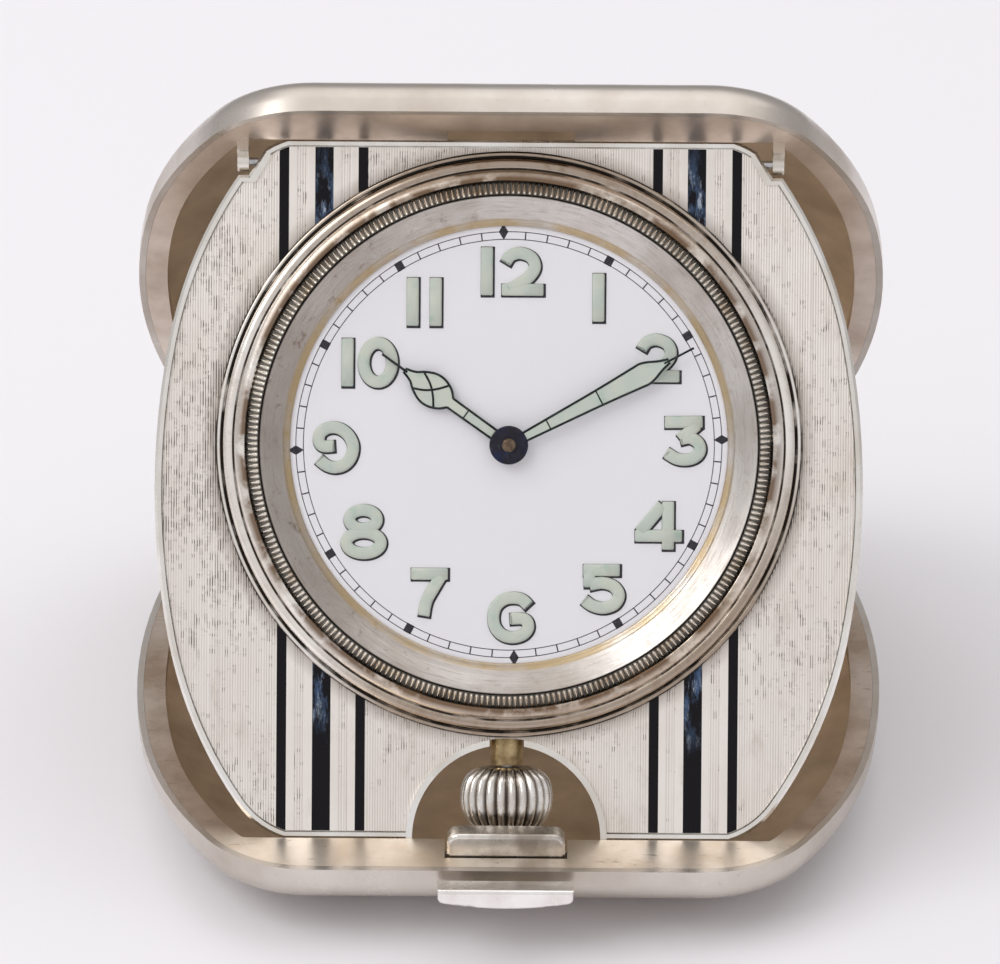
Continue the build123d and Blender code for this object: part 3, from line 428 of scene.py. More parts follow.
def coin_silver():
    """Coin edge: bright ridges with oxide in the grooves and brown stain in places."""
    t = Tree("coin_silver")
    x, y, _, radius = t.dial_place()
    wave = t.math("COSINE", t.times(t.math("ARCTAN2", y, x), float(coin_ridges)))
    dark = t.math("MAXIMUM", t.ramp(wave, 0.0, -0.6), t.ramp(radius, 21.98, 21.86))
    stain = t.cloud(0.5, 0.66, 0.3, 5.0)
    colour = t.tint(rgb(0.92, 0.88, 0.80), stain, 0.6, rgb(0.48, 0.34, 0.20))
    colour = t.tint(colour, dark, 0.82, oxide)
    return t.finish(colour, 1.0, t.spread(dark, 0.24, 0.6))


def ring_silver():
    """Sloped inner ring: brushed round the dial, with brown patches, a gold inner edge and painted
    shade on its left half.
    """
    t = Tree("ring_silver")
    x, y, _, radius = t.dial_place()
    brushed = t.turning_marks(x, y, radius, 1.2, 6.0)
    patches = t.cloud(0.38, 0.62, 0.13, 4.0)
    # Painted shade: the left half faces away from the key lamp, so it is darkened and gets more
    # brown spots
    left = t.ramp(t.math("DIVIDE", x, radius), 0.1, -0.85)
    colour = t.tint(rgb(0.74, 0.70, 0.66), patches, 0.7, rgb(0.46, 0.40, 0.35))
    colour = t.tint(colour, left, 0.6, rgb(0.42, 0.36, 0.31))
    colour = t.tint(colour, t.ramp(brushed, 0.5, 0.72), 0.5, rgb(0.30, 0.23, 0.17))
    spots = t.cloud(0.58, 0.7, 0.8, 6.0, 0.72)
    colour = t.tint(colour, spots, t.spread(left, 0.3, 0.8), rgb(0.20, 0.12, 0.07))
    gold = t.times(t.ramp(radius, 19.85, 19.6), t.cloud(0.3, 0.55, 0.2, 4.0))
    colour = t.tint(colour, gold, 0.8, rgb(0.55, 0.40, 0.20))
    colour = t.mix(t.ramp(radius, 21.58, 21.7), colour, oxide)
    t.bump(brushed, 0.03, 0.8)
    return t.finish(colour, 1.0, t.ramp(brushed, 0.3, 0.7, 0.24, 0.4))


middle_stripe = 16.25


def black_enamel():
    """Black glass enamel, with blue-white scuffs where it meets the bezel."""
    t = Tree("black_enamel")
    x, _, _, radius = t.dial_place()
    scuff = t.cloud(0.47, 0.6, 0.5, 6.0, 0.72, (1.7, 0.5, 0.5))
    wide = t.ramp(t.distance(t.math("ABSOLUTE", x), middle_stripe), 1.0, 0.7)
    amount = t.times(t.times(scuff, t.ramp(radius, 31.5, 26.2)), wide)
    colour = t.mix(amount, rgb(0.005, 0.004, 0.006), rgb(0.07, 0.12, 0.22))
    streak = t.cloud(0.52, 0.62, 1.1, 6.0, 0.75, (2.0, 0.5, 0.5))
    colour = t.tint(colour, streak, amount, rgb(0.55, 0.62, 0.70))
    return t.finish(colour, 0.0, t.spread(scuff, 0.1, 0.3), specular=0.16)


def white_enamel():
    t = Tree("white_enamel")
    colour = t.mix(t.cloud(0.3, 0.7, 0.05, 2.0), rgb(0.93, 0.915, 0.95), rgb(0.95, 0.94, 0.97))
    grain = t.noise(1.5, 3.0)
    t.bump(grain, 0.002, 0.3)
    return t.finish(colour, 0.0, t.spread(grain, 0.16, 0.24), coat=0.25)


def dial_ink():
    t = Tree("dial_ink")
    fleck = t.cloud(0.6, 0.72, 6.0, 4.0)
    colour = t.tint(rgb(0.018, 0.015, 0.022), fleck, 0.35, rgb(0.25, 0.24, 0.27))
    return t.finish(colour, 0.0, t.spread(fleck, 0.35, 0.5))


def aged_lume():
    """Old luminous paint: pale mint with cream and grey-green patches, slightly lumpy."""
    t = Tree("aged_lume")
    patch = t.cloud(0.36, 0.66, 0.45, 4.0)
    colour = t.mix(patch, rgb(0.58, 0.65, 0.58), rgb(0.67, 0.70, 0.60))
    colour = t.tint(colour, t.cloud(0.56, 0.7, 0.7, 4.0), 0.5, rgb(0.38, 0.54, 0.46))
    colour = t.tint(colour, t.cloud(0.66, 0.74, 3.0, 6.0, 0.75), 0.5, rgb(0.22, 0.23, 0.17))
    t.bump(t.noise(1.8, 5.0), 0.05, 0.6)
    return t.finish(colour, 0.0, t.spread(patch, 0.5, 0.65))


def blued_steel():
    t = Tree("blued_steel")
    tone = t.cloud(0.4, 0.65, 1.5, 4.0)
    colour = t.mix(tone, rgb(0.010, 0.014, 0.014), rgb(0.022, 0.032, 0.030))
    return t.finish(colour, 0.0, t.spread(tone, 0.35, 0.5), specular=0.2)


def hub_steel():
    """Dark hub with a blue sheen and grey specks."""
    t = Tree("hub_steel")
    speck = t.cloud(0.52, 0.66, 2.8, 6.0, 0.75)
    blue = t.cloud(0.5, 0.65, 0.7, 3.0)
    colour = t.mix(blue, rgb(0.014, 0.012, 0.020), rgb(0.015, 0.022, 0.07))
    colour = t.tint(colour, speck, 0.4, rgb(0.10, 0.11, 0.15))
    t.bump(speck, 0.03, 0.5)
    return t.finish(colour, 0.0, t.spread(speck, 0.4, 0.6), specular=0.15)


def brown_post():
    t = Tree("brown_post")
    tone = t.cloud(0.4, 0.65, 2.2, 5.0)
    t.bump(tone, 0.03, 0.6)
    colour = t.mix(tone, rgb(0.12, 0.08, 0.05), rgb(0.30, 0.22, 0.15))
    return t.finish(colour, 0.8, t.spread(tone, 0.35, 0.5))


def gilt(name, light, dark):
    """Plain inner metal, gold-coloured or steel, with a light and a dark tone."""
    t = Tree(name)
    tone = t.cloud(0.36, 0.66, 0.9, 5.0)
    t.bump(t.noise(3.0, 4.0), 0.01, 0.5)
    return t.finish(t.mix(tone, light, dark), 1.0, t.spread(tone, 0.26, 0.42))


def clear_glass():
    """Thin domed glass; the dial shows through it and it keeps a faint gloss."""
    t = Tree("clear_glass")
    t.put(t.shader.inputs["Alpha"], 0.045)
    t.material.surface_render_method = "BLENDED"
    return t.finish(rgb(0.04, 0.04, 0.045), 0.0, 0.03)


def crown_silver():
    """Crown: rubbed bright on its ridges, with oxide in the grooves between them."""
    t = Tree("crown_silver")
    x, _, w, _ = t.dial_place()
    turn = t.math("ARCTAN2", t.plus(w, crown_depth), x)
    wave = t.math("COSINE", t.times(turn, float(crown_ridges)))
    rubbed = t.cloud(0.35, 0.65, 0.8, 5.0)
    colour = t.mix(rubbed, rgb(0.88, 0.85, 0.81), rgb(0.66, 0.61, 0.55))
    colour = t.tint(colour, t.ramp(wave, 0.3, 0.9), 0.9, rgb(0.10, 0.075, 0.055))
    t.bump(t.noise(2.0, 4.0), 0.01, 0.4)
    return t.finish(colour, 1.0, t.spread(rubbed, 0.2, 0.34))


# Places along Y between which the sides of the lower rim pass into its front lip
lip_start, lip_end = -27.0, -29.0


def lip_silver():
    """Rim of the lower cover: its wide front lip is rubbed paler than its sides."""
    t = Tree("lip_silver")
    depth = t.make("ShaderNodeSeparateXYZ", {"Vector": t.place}).outputs["Y"]
    lip = t.ramp(depth, lip_start * MM, lip_end * MM)
    clouds = t.cloud(0.38, 0.64, 0.16, 5.0)
    sides = t.mix(clouds, rgb(0.68, 0.57, 0.48), rgb(0.44, 0.34, 0.26))
    front = t.mix(clouds, rgb(0.98, 0.90, 0.80), rgb(0.78, 0.66, 0.53))
    scratch = t.cloud(0.60, 0.68, 1.1, 6.0, 0.75, (0.5, 1.6, 1.0))
    colour = t.tint(t.mix(lip, sides, front), scratch, 0.55, rgb(0.22, 0.15, 0.10))
    t.bump(t.noise(2.4, 4.0, 0.6, (0.4, 1.0, 1.0)), 0.015, 0.5)
    return t.finish(colour, 1.0, t.spread(clouds, 0.28, 0.42))


case_silver = worn_silver("case_silver", silver_light, silver_mid, 0.10, 0.22, 0.36)
rim_silver = worn_silver("rim_silver", rgb(0.84, 0.73, 0.64), rgb(0.56, 0.45, 0.36),
                         0.16, 0.28, 0.42)
border_silver = worn_silver("border_silver", rgb(0.90, 0.88, 0.84), rgb(0.70, 0.65, 0.57),
                            0.2, 0.2, 0.34)
catch_silver = worn_silver("catch_silver", silver_light, rgb(0.24, 0.19, 0.15), 0.3, 0.2, 0.36)
button_silver = worn_silver("button_silver", rgb(0.98, 0.95, 0.93), rgb(0.80, 0.76, 0.72),
                            0.3, 0.18, 0.3)
crown_finish = crown_silver()
lip_finish = lip_silver()
plate_finish = plate_silver()
bezel_finish = bezel_silver()
coin_finish = coin_silver()
ring_finish = ring_silver()
enamel_black = black_enamel()
enamel_white = white_enamel()
ink = dial_ink()
lume = aged_lume()
blued = blued_steel()
hub_finish = hub_steel()
post_finish = brown_post()
gold_neck = gilt("gold_neck", rgb(0.52, 0.40, 0.22), rgb(0.26, 0.18, 0.09))
brass = gilt("brass", rgb(0.78, 0.62, 0.32), rgb(0.60, 0.45, 0.22))
steel = gilt("steel", rgb(0.62, 0.62, 0.63), rgb(0.42, 0.42, 0.44))
glass_clear = clear_glass()

# Hollow centres of the covers; the upper one is found from its own box
lower_centre = MM * Vector((0, 0, 4.5))
upper_low, upper_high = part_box("upper_cover")
upper_centre = (upper_low + upper_high) / 2
lower_cover_finish = cover_silver("lower_cover_silver", lower_centre)
upper_cover_finish = cover_silver("upper_cover_silver", upper_centre)

finishes = {
    "lower_cover": lower_cover_finish, "upper_cover": upper_cover_finish,
    "lower_rim": lip_finish, "upper_rim": rim_silver,
    "lower_knuckles": case_silver, "upper_knuckles": case_silver, "hinge_pin": steel,
    "latch_catch": catch_silver, "latch_button": button_silver, "latch_spring": steel,
    "pivot_lugs": case_silver, "pivot_pins": steel,
    "leaf_frame": border_silver, "front_plate": plate_finish, "enamel_stripes": enamel_black,
    "arch_trim": border_silver, "bezel": bezel_finish, "coin_edge_ring": coin_finish,
    "inner_ring": ring_finish, "glass": glass_clear, "dial": enamel_white,
    "movement_case": case_silver, "case_back": case_silver,
    "main_plate": brass, "train_bridge": brass, "balance_cock": brass, "barrel": brass,
    "barrel_arbor": steel, "centre_wheel": brass, "third_wheel": brass, "fourth_wheel": brass,
    "escape_wheel": steel, "pallet_fork": steel, "balance": brass, "hairspring": blued,
    "cannon_pinion": steel, "minute_wheel": brass, "minute_wheel_stud": steel,
    "hour_wheel": brass, "hour_hand": blued, "hour_lume": lume, "minute_hand": blued,
    "minute_lume": lume, "hand_cap": post_finish, "crown": crown_finish,
    "winding_stem": steel, "stem_tube": gold_neck,
}
for node_name, node in nodes.items():
    for slot in node.material_slots:
        slot.material = finishes[node_name]


# Bezel, coin edge and inner ring
def bezel_piece():
    profile = [(25.6, 0.02), (25.6, 0.28), (25.52, 0.38), (25.36, 0.43), (25.2, 0.42),
               (25.12, 0.33), (25.06, 0.33), (25.0, 0.5), (24.88, 0.72), (24.68, 0.86),
               (24.42, 0.92), (24.18, 0.9), (24.09, 0.84), (24.03, 0.84), (23.96, 0.96),
               (23.8, 1.14), (23.58, 1.27), (23.34, 1.34), (23.12, 1.35), (23.0, 1.3),
               (22.96, 1.2), (22.96, 0.02)]
    piece = lathe("bezel_turned", profile, 360, bezel_finish, "leaf")
    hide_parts("bezel")


coin_ridge_points, coin_ridge_depth, coin_slope_steps = 6, 0.13, 4


def coin_piece():
    """Ring whose sloped face is cut with fine ridges."""
    low, high = 1.06, 2.1
    outer, inner = 22.94, 21.93
    profile = [(inner, low), (outer, low)]
    depth = [0.0, 0.0]
    for step in range(coin_slope_steps + 1):
        share = step / coin_slope_steps
        profile.append((outer + (inner - outer) * share, low + (high - low) * share + 0.12))
        depth.append(coin_ridge_depth)
    profile += [(21.86, high + 0.1), (21.8, high - 0.1), (21.8, low)]
    depth += [0.0, 0.0, 0.0]

    def ripple(index, step):
        return depth[index] * (0.5 - 0.5 * math.cos(2 * math.pi * step / coin_ridge_points))

    piece = lathe("coin_edge", profile, coin_ridges * coin_ridge_points, coin_finish, "leaf",
                  ripple)
    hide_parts("coin_edge_ring")


def inner_ring_piece():
    profile = [(21.78, 0.32), (21.78, 1.95), (21.7, 2.0), (21.6, 1.96), (20.9, 1.52),
               (20.3, 1.14), (19.85, 0.86), (19.74, 0.82), (19.66, 0.74), (19.6, 0.66),
               (19.3, 0.6), (19.14, 0.55), (19.1, 0.48), (19.1, 0.32)]
    piece = lathe("inner_ring_turned", profile, 360, ring_finish, "leaf")
    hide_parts("inner_ring")


# Dial print
def circle(x, y, radius_x, radius_y, count):
    return [(x + radius_x * math.cos(2 * math.pi * k / count),
             y + radius_y * math.sin(2 * math.pi * k / count)) for k in range(count)]


def at_angle(points, degrees):
    """Points given as side and distance from the centre, turned to a clockwise angle."""
    angle = math.radians(degrees)
    return [(reach * math.sin(angle) + side * math.cos(angle),
             reach * math.cos(angle) - side * math.sin(angle)) for side, reach in points]


track_inner, track_outer = 17.94, 18.6
track_middle, track_half = (track_inner + track_outer) / 2, (track_outer - track_inner) / 2
track_line = 0.035
tick_half_width = 0.055
print_rise = 0.012


def minute_track():
    """Two fine circles with a tick for each minute, a block for each 5, a diamond for each 15."""
    parts = Parts()
    for radius in (track_inner, track_outer):
        path = circle(0, 0, radius, radius, 240)
        add_stroke(parts, path, track_line, enamel_face, print_rise, flat_section, closed=True)
    for minute in range(60):
        if minute % 15 == 0:
            middle, along, across = track_outer, 0.7, 0.42
            corners = ((0, along), (across, 0), (0, -along), (-across, 0))
        else:
            middle = track_middle
            along, across = (0.4, 0.36) if minute % 5 == 0 else (track_half, tick_half_width)
            corners = ((across, along), (across, -along), (-across, -along), (-across, along))
        outline = at_angle([(side, middle + reach) for side, reach in corners],
                           6 * minute - dial_turn)
        parts.prism(outline, enamel_face, enamel_face + print_rise)
    piece = parts.piece("minute_track", ink, "leaf", smooth=False)


# Numeral strokes about each figure's centre, in millimetres: points and half width
def loop_of(x, y, radius_x, radius_y):
    return ("loop", circle(x, y, radius_x, radius_y, 40))


bar_half_height = 2.1
figure_half_width = 0.55
figures = {
    "0": [loop_of(0, 0, 1.24, 1.7)],
    "1": [("line", [(0, bar_half_height), (0, -bar_half_height)])],
    "2": [("curve", [(-1.45, 0.72), (-1.0, 1.36), (-0.13, 1.6), (0.83, 1.2), (1.13, 0.36),
                     (0.6, -0.5), (-0.4, -1.2), (-1.2, -1.62)]),
          ("line", [(-1.75, -1.6), (1.9, -1.6)])],
    "3": [("line", [(-1.65, 1.55), (1.65, 1.6)]),
          ("line", [(1.2, 1.35), (-0.3, 0.05)]),
          ("curve", [(-0.3, 0.05), (0.55, 0.2), (1.25, -0.2), (1.45, -0.85), (1.1, -1.42),
                     (0.35, -1.7), (-0.6, -1.62), (-1.5, -1.1)])],
    "4": [("line", [(0.88, 2.1), (0.88, -2.1)]), ("line", [(-2.0, -0.9), (2.1, -0.9)]),
          ("line", [(0.4, 1.8), (-1.6, -0.6)])],
    "5": [("line", [(-1.75, 1.6), (1.45, 1.6)]), ("line", [(-1.22, 1.6), (-1.18, 0.1)]),
          ("curve", [(-1.2, 0.3), (-0.1, 0.5), (0.9, 0.2), (1.38, -0.55), (1.02, -1.35),
                     (0.05, -1.7), (-0.94, -1.5), (-1.65, -1.0)])],
    "6": [("curve", [(1.55, 1.03), (0.95, 1.6), (0.13, 1.75), (-0.65, 1.58), (-1.32, 0.98),
                     (-1.55, 0.08), (-1.38, -0.81), (-0.76, -1.5), (0.13, -1.72),
                     (1.02, -1.48), (1.5, -0.9), (1.36, -0.25), (0.8, -0.05), (-0.1, -0.1)])],
    "7": [("line", [(-1.6, 1.58), (1.6, 1.58)]),
          ("curve", [(1.05, 1.5), (0.42, 0.45), (-0.25, -0.8), (-0.5, -2.1)])],
    "8": [loop_of(-0.05, 1.12, 1.2, 0.82), loop_of(0, -0.92, 1.5, 0.92)],
    "9": [("curve", [(-0.2, 0.16), (-1.2, 0.14), (-1.55, 0.67), (-1.34, 1.36), (-0.6, 1.75),
                     (0.29, 1.66), (1.05, 1.07), (1.44, 0.18), (1.27, -0.8), (0.7, -1.48),
                     (-0.11, -1.72), (-0.87, -1.54), (-1.55, -1.02)])],
}

# Each hour's place: clockwise angle, radius, and its figures with their side steps
hour_places = {
    1: (30.9, 15.05, (("1", 0),)), 2: (59.3, 15.05, (("2", 0),)),
    3: (88.0, 15.25, (("3", 0),)), 4: (118.0, 14.8, (("4", 0),)),
    5: (146.3, 15.0, (("5", 0),)), 6: (178.9, 15.1, (("6", 0),)),
    7: (208.0, 14.6, (("7", 0),)), 8: (238.6, 14.8, (("8", 0),)),
    9: (268.7, 15.05, (("9", 0),)), 10: (300.2, 14.15, (("1", -1.9), ("0", 0.75))),
    11: (329.1, 14.5, (("1", -1.02), ("1", 0.98))),
    12: (0.5, 15.15, (("1", -2.15), ("2", 0.9))),
}
lume_rise, lume_soften = 0.3, 0.12
lume_half_width = figure_half_width - 0.03
outline_grow, outline_shift = 0.13, 0.08


def numerals():
    """Raised paint figures, each on a dark line that shows most at its right and foot."""
    paint = Parts()
    edge = Parts()
    low = enamel_face + print_rise
    for degrees, radius, shapes in hour_places.values():
        x, y = at_angle([(0, radius)], degrees)[0]
        for figure, step in shapes:
            for kind, points in figures[figure]:
                placed = [(x + step + px, y + py) for px, py in points]
                path = smooth_path(placed, 6) if kind == "curve" else placed
                closed = kind == "loop"
                add_stroke(paint, path, lume_half_width, low, lume_rise, stroke_section, closed,
                           lume_soften)
                shifted = [(px + outline_shift, py - outline_shift) for px, py in path]
                if not closed:
                    shifted = stretched(shifted, outline_grow)
                add_stroke(edge, shifted, figure_half_width + outline_grow / 2, enamel_face,
                           2 * print_rise, flat_section, closed)
    paint.piece("numeral_lume", lume, "leaf")
    edge.piece("numeral_edges", ink, "leaf", smooth=False)


def stretched(path, amount):
    """Lengthen a path at both ends."""
    result = list(path)
    for end, inner in ((0, 1), (-1, -2)):
        dx = path[end][0] - path[inner][0]
        dy = path[end][1] - path[inner][1]
        length = math.hypot(dx, dy)
        result[end] = (path[end][0] + dx / length * amount, path[end][1] + dy / length * amount)
    return result


# Hands
hour_angle, minute_angle = 305.3, 61.9
hour_level, minute_level = 0.8, 1.25
hand_thickness = 0.2
rail = 0.11
hand_paint_low, hand_paint_high = 0.05, 0.15


def hand_rails(parts, points, degrees, level, half=rail):
    path = at_angle(points, degrees)
    add_stroke(parts, path, half, level, hand_thickness, stroke_section)


def mirrored(points):
    return [(-x, y) for x, y in points]


def filled(parts, right, degrees, level):
    """Paint between two mirrored rails."""
    for (x0, y0), (x1, y1) in zip(right, right[1:]):
        quad = at_angle([(x0, y0), (x1, y1), (-x1, y1), (-x0, y0)], degrees)
        parts.prism(quad, level + hand_paint_low, level + hand_paint_high)


def minute_hand_piece():
    right = smooth_path([(0.36, 1.2), (0.52, 5.0), (0.70, 9.0), (0.93, 12.6), (0.97, 13.3),
                         (0.80, 14.0), (0.42, 14.9), (0.16, 15.8)], 5)
    steel_parts = Parts()
    for side in (right, mirrored(right)):
        hand_rails(steel_parts, side, minute_angle, minute_level)
    hand_rails(steel_parts, [(0, 15.3), (0, 16.6), (0, 18.2)], minute_angle, minute_level, 0.1)
    for reach, half in ((3.9, 0.45), (8.9, 0.68)):
        hand_rails(steel_parts, [(-half, reach), (half, reach)], minute_angle, minute_level, 0.07)
    frame_piece = steel_parts.piece("minute_hand_frame", blued, "minute_work")
    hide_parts("minute_hand")
    paint = Parts()
    filled(paint, right, minute_angle, minute_level)
    paint_piece = paint.piece("minute_hand_lume", lume, "minute_work", smooth=False)
    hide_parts("minute_lume")


def hour_hand_piece():
    shank = [(0.42, 1.2), (0.46, 6.3)]
    pear = smooth_path([(0.46, 6.3), (1.02, 6.9), (1.38, 7.8), (1.36, 8.7), (0.95, 9.6),
                        (0.45, 10.3), (0.16, 11.2)], 6)
    lobes = smooth_path([(1.25, 7.2), (0.35, 7.9), (-0.35, 8.7), (-0.85, 9.7)], 5)
    steel_parts = Parts()
    for curve in (shank, pear, lobes):
        for side in (curve, mirrored(curve)):
            hand_rails(steel_parts, side, hour_angle, hour_level)
    hand_rails(steel_parts, [(0, 10.9), (0, 12.2), (0, 13.6)], hour_angle, hour_level)
    hand_rails(steel_parts, [(-0.45, 4.6), (0.45, 4.6)], hour_angle, hour_level, 0.07)
    frame_piece = steel_parts.piece("hour_hand_frame", blued, "hour_work")
    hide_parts("hour_hand")
    paint = Parts()
    filled(paint, shank + pear[1:], hour_angle, hour_level)
    paint_piece = paint.piece("hour_hand_lume", lume, "hour_work", smooth=False)
    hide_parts("hour_lume")


def hub_pieces():
    disc = [(0.0, 1.2), (1.55, 1.2), (1.66, 1.26), (1.69, 1.36), (1.64, 1.46), (1.5, 1.5),
            (0.7, 1.54), (0.0, 1.54)]
    lathe("hand_hub", disc, 96, hub_finish, "minute_work")
    post = [(0.0, 1.5), (0.6, 1.5), (0.6, 1.62), (0.5, 1.72), (0.3, 1.76), (0.0, 1.76)]
    piece = lathe("hand_post", post, 48, post_finish, "minute_work")
    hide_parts("hand_cap")


# Crown, in the dial frame
crown_top, crown_length, crown_radius = -28.3, 6.1, 4.1
crown_bore_radius, crown_bore_depth, crown_groove_share = 0.51, 3.05, 0.1
crown_shares = [(0.0, 0.5), (0.03, 0.66), (0.14, 0.88), (0.3, 0.98), (0.47, 1.0), (0.64, 0.95),
                (0.8, 0.82), (0.92, 0.62), (1.0, 0.42)]
points_per_ridge, groove_power = 10, 1.6


def crown_piece():
    """Onion crown with rounded ridges, smooth where the solid is faceted."""
    profile = [(crown_bore_depth, crown_bore_radius, 0.0), (0.0, crown_bore_radius, 0.0)]
    for height_share, radius_share in smooth_path(crown_shares, 6):
        profile.append((crown_length * height_share, crown_radius * radius_share,
                        crown_groove_share))
    rings = []
    for height, radius, groove in profile:
        ring = []
        for step in range(crown_ridges * points_per_ridge):
            angle = 2 * math.pi * step / (crown_ridges * points_per_ridge)
            depth = (0.5 + 0.5 * math.cos(crown_ridges * angle)) ** groove_power
            reach = radius * (1 - groove * depth)
            ring.append(on_dial(reach * math.cos(angle), crown_top - height,
                                reach * math.sin(angle) - crown_depth))
        rings.append(ring)
    parts = Parts()
    parts.ring_skin(rings)
    piece = parts.piece("crown_ridged", crown_finish, "crown")
    piece.data.set_sharp_from_angle(angle=math.radians(50.0))
    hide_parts("crown")


# Outline of the case
cover_half = 34.1
side_radius, shoulder_radius, corner_radius = 73.0, 40.7, 11.0
side_break = 13.7
side_angle = math.asin(side_break / side_radius)
side_x = cover_half - side_radius
shoulder_x = side_x + (side_radius - shoulder_radius) * math.cos(side_angle)
shoulder_y = (side_radius - shoulder_radius) * math.sin(side_angle)
corner_y = cover_half - corner_radius
corner_x = shoulder_x + math.sqrt((shoulder_radius - corner_radius) ** 2
                                  - (corner_y - shoulder_y) ** 2)
corner_angle = math.atan2(corner_y - shoulder_y, corner_x - shoulder_x)

# Covers: pillow form under a straight wall
cover_height, cover_wall, rim_thickness = 7.8, 0.6, 1.2
edge_round, edge_slope = 2.8, math.radians(33.0)
offset_limit = 0.82 * corner_radius
round_steps, pillow_steps = 9, 16
hinge_y, hinge_z, open_angle = 35.65, 7.9, math.radians(56.0)
slot_width, slot_low, slot_high = 7.4, 5.4, 6.6
slot_front, slot_back = -cover_half - 1.0, -cover_half + 2.2


def cushion_ring(inset):
    """Points round the case outline, drawn in; past the offset limit it is scaled."""
    share = 1.0
    if inset > offset_limit:
        share = (cover_half - inset) / (cover_half - offset_limit)
        inset = offset_limit
    quarter = []
    arcs = ((side_x, 0.0, side_radius, 0.0, side_angle, 5),
            (shoulder_x, shoulder_y, shoulder_radius, side_angle, corner_angle, 8),
            (corner_x, corner_y, corner_radius, corner_angle, math.pi / 2, 10))
    for x, y, radius, start, end, count in arcs:
        for step in range(count):
            angle = start + (end - start) * step / count
            quarter.append((x + (radius - inset) * math.cos(angle),
                            y + (radius - inset) * math.sin(angle)))
    for step in range(6):
        quarter.append((corner_x * (1 - step / 6), cover_half - inset))
    quarter = [(x * share, y * share) for x, y in quarter]
    peak = [(0.0, quarter[-1][1])]
    left = [(-x, y) for x, y in reversed(quarter)]
    half = quarter + peak + left
    return half + [(-x, -y) for x, y in half[1:-1]]


def pillow_profile(offset):
    """Insets and heights from the top of the wall down to the flat, as in the solid."""
    steps = []
    for index in range(round_steps + 1):
        angle = (math.pi / 2 - edge_slope) * index / round_steps
        steps.append((edge_round * (1 - math.cos(angle)),
                      rim_thickness + edge_round * math.sin(angle), angle))
    start, start_drop, _ = steps[-1]
    fall = cover_height - start_drop
    length = 2 * fall / math.tan(edge_slope)
    for index in range(1, pillow_steps + 1):
        left = 1 - index / pillow_steps
        angle = math.pi / 2 - math.atan(math.tan(edge_slope) * left)
        steps.append((start + length * (1 - left), cover_height - fall * left ** 2, angle))
    places = [(offset, cover_height)]
    for inset, drop, angle in steps:
        places.append((inset + offset * math.cos(angle),
                       cover_height - drop + offset * math.sin(angle)))
    return places


def in_lower(x, y, z):
    return MM * Vector((x, y, z))


def in_upper(x, y, z):
    """Point of the upper cover's own frame, turned about the hinge."""
    y, z = y - hinge_y, hinge_z - z
    cosine, sine = math.cos(open_angle), math.sin(open_angle)
    return MM * Vector((-x, hinge_y + y * cosine + z * sine, hinge_z - y * sine + z * cosine))


def cover_piece(name, place, material, body):
    """Smooth pillow shell in place of the solid's flat bands."""
    outer, inner = pillow_profile(0.0), pillow_profile(cover_wall)
    rings = []
    for inset, height in list(reversed(outer)) + inner:
        rings.append([place(x, y, height) for x, y in cushion_ring(inset)])
    parts = Parts()
    parts.ring_skin(rings)
    return parts.piece(name, material, body)


def finish_cover(piece, node_name):
    piece.data.set_sharp_from_angle(angle=math.radians(40.0))
    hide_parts(node_name)


def cut_box(piece, low, high):
    """Cut a box out of one mesh piece of this script."""
    corners = [(x, y, z) for x in (low[0], high[0]) for y in (low[1], high[1])
               for z in (low[2], high[2])]
    faces = [(0, 1, 3, 2), (4, 6, 7, 5), (0, 4, 5, 1), (2, 3, 7, 6), (0, 2, 6, 4), (1, 5, 7, 3)]
    mesh = bpy.data.meshes.new("cutter")
    mesh.from_pydata([tuple(MM * Vector(corner)) for corner in corners], [], faces)
    cutter = add_object("cutter", mesh)
    cut = piece.modifiers.new("cut", "BOOLEAN")
    cut.operation, cut.solver, cut.object = "DIFFERENCE", "EXACT", cutter
    graph = bpy.context.evaluated_depsgraph_get()
    result = bpy.data.meshes.new_from_object(piece.evaluated_get(graph))
    piece.modifiers.clear()
    piece.data = result
    bpy.data.objects.remove(cutter)


def covers():
    upper = cover_piece("upper_cover_smooth", in_upper, upper_cover_finish, "upper_case")
    finish_cover(upper, "upper_cover")
    lower = cover_piece("lower_cover_smooth", in_lower, lower_cover_finish, "lower_case")
    cut_box(lower, (-slot_width / 2, slot_front, slot_low), (slot_width / 2, slot_back, slot_high))
    finish_cover(lower, "lower_cover")


# Engine turning on the front plate
leaf_inset = 3.15
leaf_half_length = 30.6
plate_inset = 0.72
bezel_cover_radius = 25.3
arch_centre_y, arch_radius = -30.5, 8.8
notch_foot, notch_head, notch_border = (23.8, 27.4), (22.5, 29.5), 0.12
stripe_edges = (12.425, 13.275, 15.45, 17.05, 19.325, 20.175)
plate_half_width, plate_top, plate_foot = 30.9, 0.06, 0.004
line_depth = 0.035

# A flat band repeats at the bright pitch, over this share of it and with this share of the depth
bright_pitch, flat_share, flat_depth = 2.38, 0.09, 0.1

# Unengraved margin of the wide fields; the narrow ones, up to this width, have the strip margin
field_margin, narrow_width = 0.18, 3.0
column_share = 0.25


def cushion_height(x, inset):
    """Upper edge of the case outline, drawn in, above a place on the X axis."""
    x = abs(x)
    if x <= corner_x:
        return cover_half - inset
    corner_reach = corner_radius - inset
    if x <= corner_x + corner_reach * math.cos(corner_angle):
        return corner_y + math.sqrt(corner_reach ** 2 - (x - corner_x) ** 2)
    shoulder_reach = shoulder_radius - inset
    if x <= shoulder_x + shoulder_reach * math.cos(side_angle):
        return shoulder_y + math.sqrt(shoulder_reach ** 2 - (x - shoulder_x) ** 2)
    side_reach = side_radius - inset
    return math.sqrt(max(side_reach ** 2 - (x - side_x) ** 2, 0.0))


